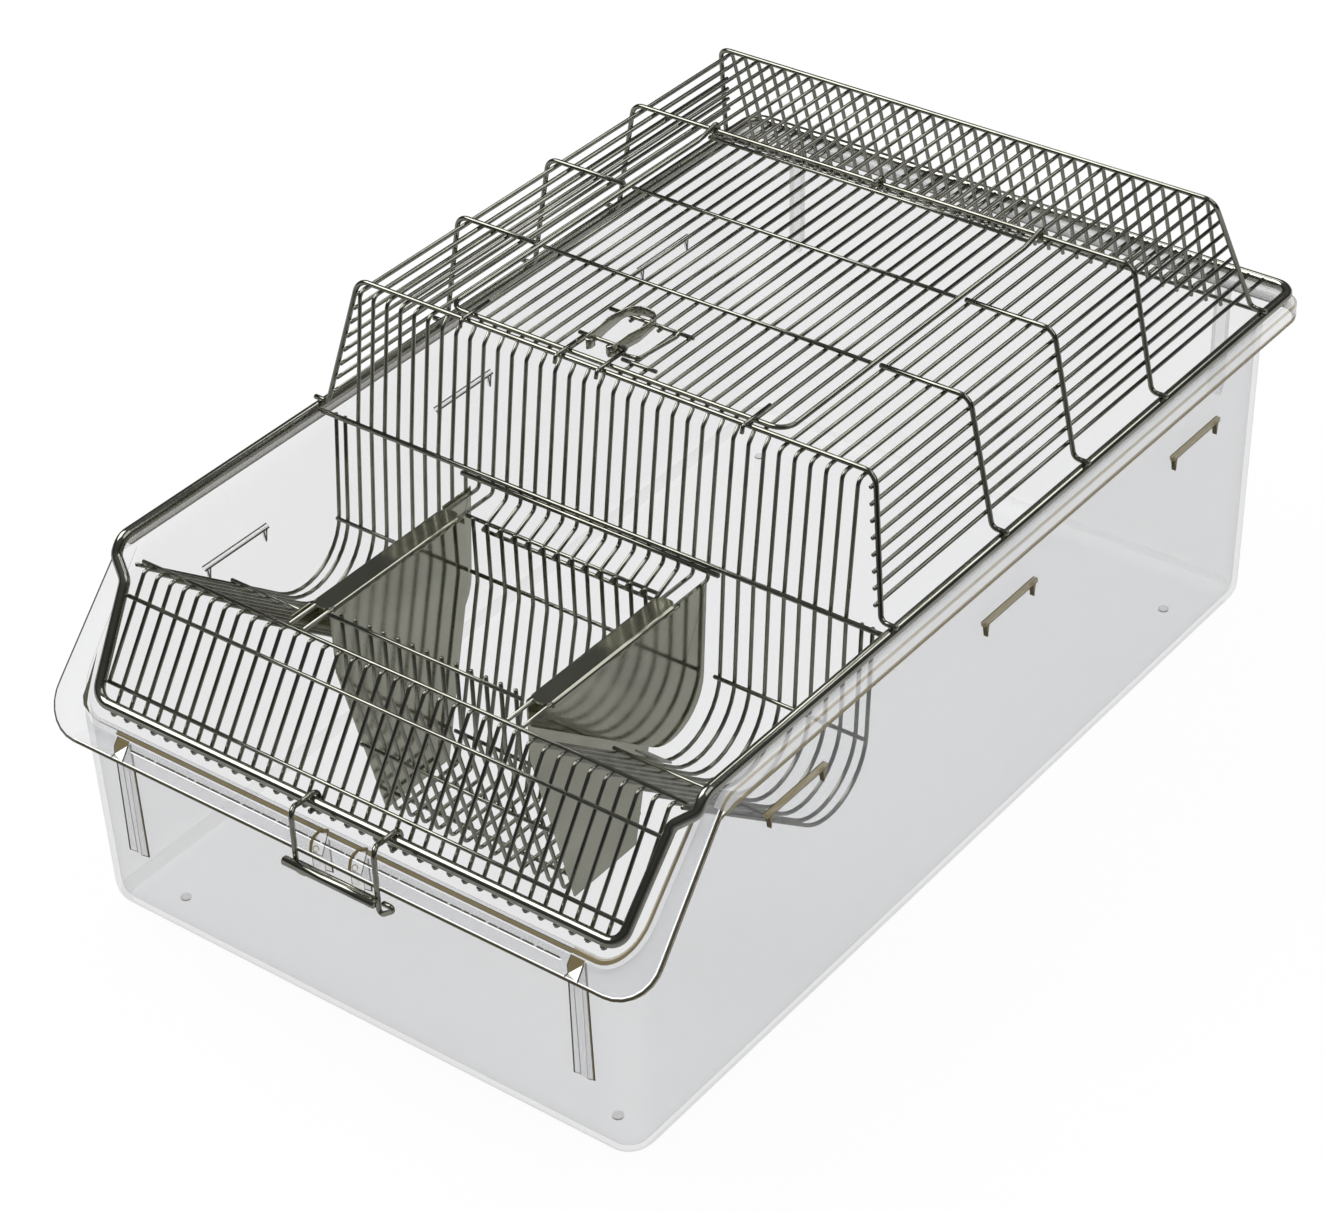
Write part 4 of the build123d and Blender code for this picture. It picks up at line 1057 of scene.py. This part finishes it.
def hoop_half(top_y, foot_y, side):
    """Half of a hoop, from its foot on the rod to the corner of its top."""
    return [
        Vector((side * (hoop_foot_x + hoop_toe), foot_y, hoop_foot_z)),
        Vector((side * hoop_foot_x, foot_y, hoop_foot_z)),
        Vector((side * hoop_corner_x, top_y, hoop_z)),
    ]


for hoop_name, top_y, foot_y in (
    ("front_hoop", front_hoop_y, face_foot_y),
    ("hinge_hoop", hinge_hoop_y, hinge_hoop_y),
    ("rear_hoop", rear_hoop_y, rear_hoop_foot_y),
):
    points = hoop_half(top_y, foot_y, -1) + hoop_half(top_y, foot_y, 1)[::-1]
    wires(hoop_name, [bent(points, hoop_bends + hoop_bends[::-1])], radius=hoop_radius, sides=12)
hoop_cut_x = (bay_wires_each_side + 1) * wire_pitch - wire_radius
for hoop_name, top_y in (("second_hoop", second_hoop_y), ("third_hoop", third_hoop_y)):
    paths = []
    for side in (-1, 1):
        points = hoop_half(top_y, top_y, side) + [Vector((side * hoop_cut_x, top_y, hoop_z))]
        paths.append(bent(points, hoop_bends))
    wires(hoop_name, paths, radius=hoop_radius, sides=12)

# Side wires
side_wires = 8
first_side_wire = 6.8
side_wire_pitch = 8.2
leg = Vector((hoop_leg_spread, 0, hoop_foot_z - hoop_z))
leg_along = leg.normalized()
leg_in = Vector((leg_along.z, 0, -leg_along.x))
for side_name, side in SIDES:
    paths = []
    for number in range(side_wires):
        down = first_side_wire + number * side_wire_pitch
        share = down / leg.length
        spot = Vector((hoop_corner_x, 0, hoop_z)) + leg_along * down + leg_in * (wire_radius + hoop_radius + weld_gap)
        paths.append([
            Vector((side * spot.x, front_hoop_y - front_hoop_lean * share - wire_overrun, spot.z)),
            Vector((side * spot.x, rear_hoop_y + rear_hoop_lean * share + wire_overrun, spot.z)),
        ])
    wires(side_name + "_side_wires", paths)

# Door
door_front_gap = 5.8
door_rear_gap = 8.0
door_corner_radius = 9.0
side_end = 8.0
eye_start = mid(2.0, 0.8)
eye_gap = 0.3
eye_turn_from, eye_turn = 0.42 * pi, 1.5 * pi
eye_steps = 18
middle_eye_lap = 1.2
guard_setback = 44.5
clip_x = -14.0
clip_half_gap = 13.0
door_wire_pitch = 8.9
door_gap = 0.3
finger_gap = 0.3
finger_x = 88.0
finger_run = (mid(22.0, 0.0), mid(-0.6, 0.0), mid(-1.9, -4.2))
finger_bend = 2.0
pivot_setback = 10.8
door_x = (bay_wires_each_side + 0.5) * wire_pitch
door_front_y = front_hoop_y + door_front_gap
door_rear_y = hinge_hoop_y - door_rear_gap
door_cross_z = roof_z + wire_diameter + weld_gap
eye_radius = 2 * hoop_radius + eye_gap


def hinge_eye(x):
    """Turn of wire round the hinge hoop, from the front over the top to underneath."""
    angles = [eye_turn_from + eye_turn * i / eye_steps for i in range(eye_steps + 1)]
    return [Vector((x, hinge_hoop_y - eye_radius * cos(a), hoop_z + eye_radius * sin(a))) for a in angles]


def door_side(x):
    """Rear end of the door's frame, raised into its hinge eye."""
    return [Vector((x, door_rear_y - eye_start.y, hoop_z + eye_start.z))] + hinge_eye(x)


front_run = bent(
    [Vector((-door_x, door_rear_y - side_end, hoop_z)), Vector((-door_x, door_front_y, hoop_z)),
     Vector((door_x, door_front_y, hoop_z)), Vector((door_x, door_rear_y - side_end, hoop_z))],
    door_corner_radius,
)
door_loop = door_side(-door_x)[::-1] + front_run + door_side(door_x)
wires("door_frame", [door_loop], "door", radius=hoop_radius, sides=12)
guard_y = door_front_y + guard_setback
clip_left_x = clip_x - clip_half_gap
clip_right_x = clip_x + clip_half_gap
door_wire_z = roof_z - weld_gap
paths = []
for number in range(-bay_wires_each_side, bay_wires_each_side):
    x = door_wire_pitch * (number + 0.5)
    start_y = guard_y if clip_left_x < x < clip_right_x else door_front_y
    ends = (start_y - wire_overrun, door_rear_y + wire_overrun)
    paths.append([Vector((x, y, door_wire_z)) for y in ends])
wires("door_wires", paths, "door")
door_crosses = [mid(y, door_cross_z) for y in (second_hoop_y, third_hoop_y, door_rear_y)]
bars("door_cross_wires", door_crosses, door_x - hoop_radius - door_gap, "door")
eye = hinge_eye(wire_pitch / 2)
eye_path = [Vector((wire_pitch / 2, door_rear_y + middle_eye_lap, eye[0].z))] + eye
wires("door_middle_eye", [eye_path], "door", radius=hoop_radius, sides=12)
finger_z = hoop_z + hoop_radius + wire_radius + finger_gap
finger_front = front_hoop_y - 2 * wire_diameter
finger = bent([mid(finger_front + p.y, finger_z + p.z) for p in finger_run], finger_bend)
wires("door_fingers", [at_x(finger, x) for x in (-finger_x, clip_left_x, clip_right_x, finger_x)], "door")
pivot = mid(door_front_y + pivot_setback, finger_z + wire_diameter)
wires("clip_pivot_wire", [across(pivot, clip_left_x - wire_diameter, clip_right_x + wire_diameter)], "door")
guard = across(mid(guard_y, door_cross_z), clip_left_x - wire_pitch, clip_right_x + 2 * wire_pitch)
wires("clip_guard_wire", [guard], "door")

# Two short wires beside the clip: a bent bracket and a stub of the bar that the clip's arms rest over
bracket = bent(
    [Vector((-8.0, pivot.y + 1.0, door_cross_z)), Vector((6.0, pivot.y + 3.0, door_cross_z)),
     Vector((9.0, guard_y - 3.5, door_cross_z)), Vector((10.0, guard_y - 1.5, door_cross_z + wire_diameter))],
    [3.0, 2.0],
)
stub = across(mid(pivot.y - 2.0, door_cross_z), clip_right_x, 21.0)
round_wires("clip_bracket_wires", [bracket, stub], "door", wire_radius, 10)

# Bail
bail_radius = 1.4
bail_gap = 0.3
bail_reach = 19.4
bail_drop = 31.0
bail_rear_rise = 9.0
bail_half_spacing = 26.0
bail_lean = 4.2
bail_rise = 5.5
bail_tail = 3.0
bail_knee = 8.5
bail_bends = [6.0, 4.0]
toe_bend = 2.0
left_toe_rise, left_toe = 3.5, 5.5
right_toe, right_toe_end = 11.5, 2.8
grip_radius = 2.5
grip_rise = 10.5
grip_length = 58.5
grip_overhang = 0.3
bail_eye = rod_radius + bail_gap + bail_radius
bail_leg_y = rod_front.y - bail_reach
bail_foot_z = rod_front.z - bail_drop
bail_rear_z = bail_foot_z + bail_rear_rise
bail_left_x = front_shift - bail_half_spacing
bail_right_x = front_shift + bail_half_spacing


def bail_leg(x, foot):
    """One leg of the bail: a turn round the rod, a reach forward, a drop and the given foot."""
    angles = [pi * (i / 14 - 0.5) for i in range(15)]
    turn = [Vector((x, rod_front.y + bail_eye * cos(a), rod_front.z + bail_eye * sin(a))) for a in angles]
    top_z = turn[-1].z
    foot_x = x + bail_lean
    run = [turn[-1], Vector((x, rod_front.y - bail_knee, top_z)), Vector((foot_x, bail_leg_y, top_z + bail_rise))]
    run += [Vector((foot_x + reach, bail_leg_y, z)) for reach, z in foot]
    bends = bail_bends + [toe_bend] * (len(foot) - 1)
    return [Vector((x, rod_front.y - bail_tail, turn[0].z))] + turn[:-1] + bent(run, bends)


left_toe_z = bail_foot_z + left_toe_rise
left_leg = bail_leg(bail_left_x, [(0.0, left_toe_z), (left_toe, left_toe_z)])
right_leg = bail_leg(bail_right_x, [(0.0, bail_foot_z), (right_toe, bail_rear_z), (right_toe_end, bail_rear_z)])
wires("bail_legs", [left_leg, right_leg], "bail", radius=bail_radius, sides=12)
butt = bail_radius + weld_gap
bail_rear = across(mid(bail_leg_y, bail_rear_z), bail_left_x + bail_lean + butt, bail_right_x + bail_lean - butt)
wires("bail_rear_wire", [bail_rear], "bail", radius=bail_radius, sides=12)
grip_place = mid(bail_leg_y - bail_radius - grip_radius - weld_gap, bail_foot_z + grip_rise)
grip_left_x = bail_left_x - grip_overhang
grip = across(grip_place, grip_left_x, grip_left_x + grip_length)
wires("bail_grip_bar", [grip], "bail", radius=grip_radius, sides=16)

# Dividers: a well cheek with a lip folded over the rails, and a cheek on the hopper
cheek_clearance = 3.6
fold_overhang = 0.6
lip_bend = 2.0
lip_corner = 4.0
fold_steps = 8
lip_steps = 13
tab_run = 114.0
tab_width = 15.0
tab_half = 6.5
sheet_rounding = 0.2
tab_rounding = 0.3
divider_top_z = rail_z + wire_radius + weld_gap + sheet
well_offset = wire_radius + cheek_clearance
fold_front = hopper_front_y - fold_overhang
fold_rear = hopper_rear_y + fold_overhang
cheek_front = slope_head + floor_along * (head_bar_setback + 2 * wire_diameter) + floor_up * well_offset
cheek_back = face_foot - back_along * (face_foot_z - divider_top_z) + back_out * well_offset


def offset_corner():
    """Corner where the well's floor and back, both set in by the cheek's gap, would meet."""
    along, rise = floor_along, back_along
    start = slope_head + floor_up * well_offset
    other = face_foot + back_out * well_offset
    share = ((other - start).y * rise.z - (other - start).z * rise.y) / (along.y * rise.z - along.z * rise.y)
    return start + along * share


cheek_path = bent([cheek_front, offset_corner(), cheek_back], [well_radius - well_offset])


def build_divider(node, side):
    """One divider of thin polished sheet: two cheeks and a lip with rounded corners folded between them."""
    verts, faces, marks = [], [], []

    def plate(outline, low):
        """Flat cheek of the sheet's thickness."""
        ends = sorted((side * low, side * (low + sheet)))
        prism(verts, faces, marks, outline, *ends, "x", CLEAR, CLEAR)

    def fold(edge, way, angle):
        """Station of the lip's rounded fold at an angle above its side."""
        out, rise = way * cos(angle), sin(angle)
        return edge + lip_bend * out, low_top + lip_bend * rise, out, rise, lip_corner

    low_top = divider_top_z - lip_bend
    well_cheek = [(p.y, p.z) for p in cheek_path] + [
        (cheek_back.y, divider_top_z), (fold_rear, divider_top_z), (fold_rear, low_top), (fold_front, low_top),
        (fold_front, divider_top_z), (cheek_front.y, divider_top_z),
    ]
    plate(well_cheek, cheek_outer_x)
    hopper_cheek = [
        (fold_front, low_top), (fold_front, hopper_knee_z),
        (hopper_front_y + hopper_floor_in - fold_overhang, hopper_floor_z - wire_radius),
        (hopper_rear_y - hopper_floor_in + fold_overhang, hopper_floor_z - wire_radius),
        (fold_rear, hopper_knee_z), (fold_rear, low_top),
    ]
    plate(hopper_cheek, cheek_inner_x)
    # Lip as a folded strip: each station has a place, the direction it faces and how far its ends are drawn in
    inner, outer = cheek_inner_x + lip_bend, cheek_outer_x + sheet - lip_bend
    angles = [pi / 2 * i / fold_steps for i in range(fold_steps + 1)]
    stations = [fold(inner, -1, angle) for angle in angles]
    for i in range(1, lip_steps):
        x = inner + (outer - inner) * i / lip_steps
        from_fold = min(x - inner, outer - x)
        drawn = max(0.0, lip_corner - from_fold)
        setback = lip_corner - (lip_corner ** 2 - drawn ** 2) ** 0.5
        stations.append((x, divider_top_z, 0.0, 1.0, setback))
    stations += [fold(outer, 1, angle) for angle in reversed(angles)]
    base = len(verts)
    for x, z, out, up_share, setback in stations:
        for depth in (0.0, sheet):
            for y in (fold_front + setback, fold_rear - setback):
                verts.append(Vector((side * (x - out * depth), y, z - up_share * depth)) * MM)
    for i in range(len(stations) - 1):
        a, b = base + 4 * i, base + 4 * (i + 1)
        top, under = (a, b, b + 1, a + 1), (a + 2, a + 3, b + 3, b + 2)
        for quad in (top, under, (a, a + 2, b + 2, b), (a + 1, b + 1, b + 3, a + 3)):
            faces.append(quad if side > 0 else quad[::-1])
    for first in (base, base + 4 * (len(stations) - 1)):
        faces.append((first, first + 1, first + 3, first + 2))
    piece = make_piece("polished_" + node, verts, faces, sheet_steel, "lid", (node,), smooth=False)
    soften(piece, sheet_rounding)
    # Foot tab that rests on the wires of the well
    middle = slope_head + floor_along * tab_run + floor_up * (wire_radius + weld_gap)
    near, far = cheek_outer_x, cheek_outer_x + tab_width
    corners = []
    for lift in (0.0, sheet):
        for x, run in ((near, -tab_half), (far, -tab_half), (far, tab_half), (near, tab_half)):
            corners.append(at_x([middle + floor_along * run + floor_up * lift], side * x)[0] * MM)
    rests = [(0, 3, 2, 1), (4, 5, 6, 7), (0, 1, 5, 4), (1, 2, 6, 5), (2, 3, 7, 6), (3, 0, 4, 7)]
    rests = rests if side > 0 else [quad[::-1] for quad in rests]
    tab = make_piece(node + "_foot_tab", corners, rests, tab_steel, "lid", smooth=False)
    soften(tab, tab_rounding)


build_divider("left_divider", -1)
build_divider("right_divider", 1)

# Clip: springy hairpin of strip on edge, hooked at its front ends
clip_half = 6.5
strip_half = 0.4
strip_shoulder = 0.85
clip_shift = 2.2
loop_half, loop_reach, loop_height = 9.6, 8.9, 5.6
loop_setback = 36.0
arm_reach = 7.0
arm_x = clip_half - strip_half
loop_y = door_front_y + loop_setback
arm_front_y = pivot.y - arm_reach


def build_clip():
    """Hairpin of polished strip, swept with a rounded flat section whose height swells along the arms."""
    half = [
        (arm_x - 1.6, arm_front_y + 3.4, 4.4), (arm_x - 1.2, arm_front_y + 0.9, 5.4),
        (arm_x + 0.6, arm_front_y - 0.4, 6.4), (arm_x + 2.2, arm_front_y + 1.4, 7.0),
        (arm_x + 2.4, pivot.y, 7.4), (arm_x + 2.6, pivot.y + 7.0, 8.2),
        (arm_x + 3.6, pivot.y + 14.0, 8.0), (arm_x + 3.6, loop_y - 5.0, 6.8),
    ]
    for i in range(7):
        angle = pi / 2 * i / 6
        half.append((loop_half * cos(angle), loop_y + loop_reach * sin(angle), loop_height))
    clip_mid_x = clip_x + clip_shift
    points = [(clip_mid_x - x, y, h) for x, y, h in half] + [(clip_mid_x + x, y, h) for x, y, h in half[-2::-1]]
    verts, faces = [], []
    section = [
        (-strip_half, -strip_shoulder), (0.0, -1.0), (strip_half, -strip_shoulder),
        (strip_half, strip_shoulder), (0.0, 1.0), (-strip_half, strip_shoulder),
    ]
    for i, (x, y, height) in enumerate(points):
        x1, y1, _ = points[max(i - 1, 0)]
        x2, y2, _ = points[min(i + 1, len(points) - 1)]
        along = Vector((x2 - x1, y2 - y1)).normalized()
        for out, lift in section:
            verts.append(Vector((x + along.y * out, y - along.x * out, pivot.z + lift * height / 2)) * MM)
    count = len(section)
    for i in range(len(points) - 1):
        for j in range(count):
            k = (j + 1) % count
            faces.append((i * count + j, i * count + k, (i + 1) * count + k, (i + 1) * count + j))
    faces.append(tuple(reversed(range(count))))
    faces.append(tuple((len(points) - 1) * count + j for j in range(count)))
    make_piece("spring_door_clip", verts, faces, strip_steel, "clip", ("door_clip",))


build_clip()

# Floor, light and camera
floor_mesh = bpy.data.meshes.new("floor")
floor_half = 6
floor_corners = [(x * floor_half, y * floor_half, 0) for x, y in ((-1, -1), (1, -1), (1, 1), (-1, 1))]
floor_mesh.from_pydata(floor_corners, [], [(0, 1, 2, 3)])
floor = bpy.data.objects.new("floor", floor_mesh)
scene.collection.objects.link(floor)
# Seen straight or through the tub the floor is a white sweep, and in polished steel a grey one
floor_material, tree, shader = new_material("pale_floor")
fill(tree, shader, {"Base Color": (0.9, 0.9, 0.9, 1.0), "Roughness": 0.9, "Specular IOR Level": 0.1})
ray = put(tree, "ShaderNodeLightPath", {})
glossy = ray["Is Glossy Ray"]
straight = {0: ray["Is Camera Ray"], 1: ray["Is Transmission Ray"]}
straight_share = put(tree, "ShaderNodeMath", straight, use_clamp=True)["Value"]
shares = {0: straight_share, 1: 0.94, 2: glossy}
white_share = put(tree, "ShaderNodeMath", shares, operation="MULTIPLY_ADD", use_clamp=True)["Value"]
place = put(tree, "ShaderNodeTexCoord", {})["Object"]
toward_front = put(tree, "ShaderNodeVectorMath", {0: place, 1: (0.62, -0.78, 0.0)}, operation="DOT_PRODUCT")["Value"]
falloff = map_range(tree, toward_front, from_min=0.3, from_max=0.75, to_min=0.4, to_max=0.1)
sweep_light = map_range(tree, glossy, to_min=1.0, to_max=falloff)
white = put(tree, "ShaderNodeEmission", {"Strength": sweep_light})["Emission"]
blend = put(tree, "ShaderNodeMixShader", {"Fac": white_share, 1: shader.outputs["BSDF"], 2: white})["Shader"]
fill(tree, tree.nodes["Material Output"], {"Surface": blend})
floor_mesh.materials.append(floor_material)

# Sky: brighter above, dim in polished steel, and white where it is seen straight
world = bpy.data.worlds.new("studio")
scene.world = world
world.use_nodes = True
tree = world.node_tree
way = put(tree, "ShaderNodeTexCoord", {})["Generated"]
height = put(tree, "ShaderNodeSeparateXYZ", {"Vector": way})["Z"]
dome = map_range(tree, height, to_min=0.16, to_max=0.95)
ray = put(tree, "ShaderNodeLightPath", {})
dim = map_range(tree, ray["Is Glossy Ray"], to_min=1.0, to_max=0.13)
strength = put(tree, "ShaderNodeMath", {0: dome, 1: dim}, operation="MULTIPLY")["Value"]
white_behind = put(tree, "ShaderNodeMath", {0: strength, 1: ray["Is Camera Ray"]}, operation="MAXIMUM")["Value"]
fill(tree, tree.nodes["Background"], {"Color": (1.0, 1.0, 1.0, 1.0), "Strength": white_behind})


def area_light(name, place, target, size, power):
    """Large soft lamp aimed at a point."""
    lamp = bpy.data.lights.new(name, "AREA")
    lamp.shape = "SQUARE"
    lamp.size = size
    lamp.energy = power
    holder = bpy.data.objects.new(name, lamp)
    holder.location = place
    holder.rotation_euler = (Vector(target) - Vector(place)).to_track_quat("-Z", "Y").to_euler()
    scene.collection.objects.link(holder)


area_light("key", (-1.35, -0.5, 2.3), (0, 0, 0.1), 1.9, 34.0)
area_light("fill", (1.6, 0.3, 2.1), (0, 0, 0.1), 1.8, 8.0)
area_light("rim_right", (0.65, 1.66, 1.9), (0, 0, 0.15), 0.8, 3.6)
area_light("rim_left", (-0.68, 1.45, 2.0), (0, 0, 0.15), 0.7, 3.0)

scene.view_settings.view_transform = "Standard"
# Camera as solved from the photo: its place in millimetres, its turns in degrees and its focal length in pixels
camera_place = Vector((960.7, -1241.6, 1204.6))
azimuth, elevation, roll = radians(38.46), radians(35.32), radians(-2.30)
focal_pixels = 3596.2
photo_width = 1324
sensor_width = 36.0
back = Vector((sin(azimuth) * cos(elevation), -cos(azimuth) * cos(elevation), sin(elevation)))
right = Vector((cos(azimuth), sin(azimuth), 0))
up = back.cross(right)
right_rolled = right * cos(roll) + up * sin(roll)
up_rolled = up * cos(roll) - right * sin(roll)
camera_data = bpy.data.cameras.new("camera")
camera_data.sensor_width = sensor_width
camera_data.lens = sensor_width * focal_pixels / photo_width
camera = bpy.data.objects.new("camera", camera_data)
turn = Matrix((right_rolled, up_rolled, back)).transposed().to_4x4()
camera.matrix_world = Matrix.Translation(camera_place * MM) @ turn
scene.collection.objects.link(camera)
scene.camera = camera
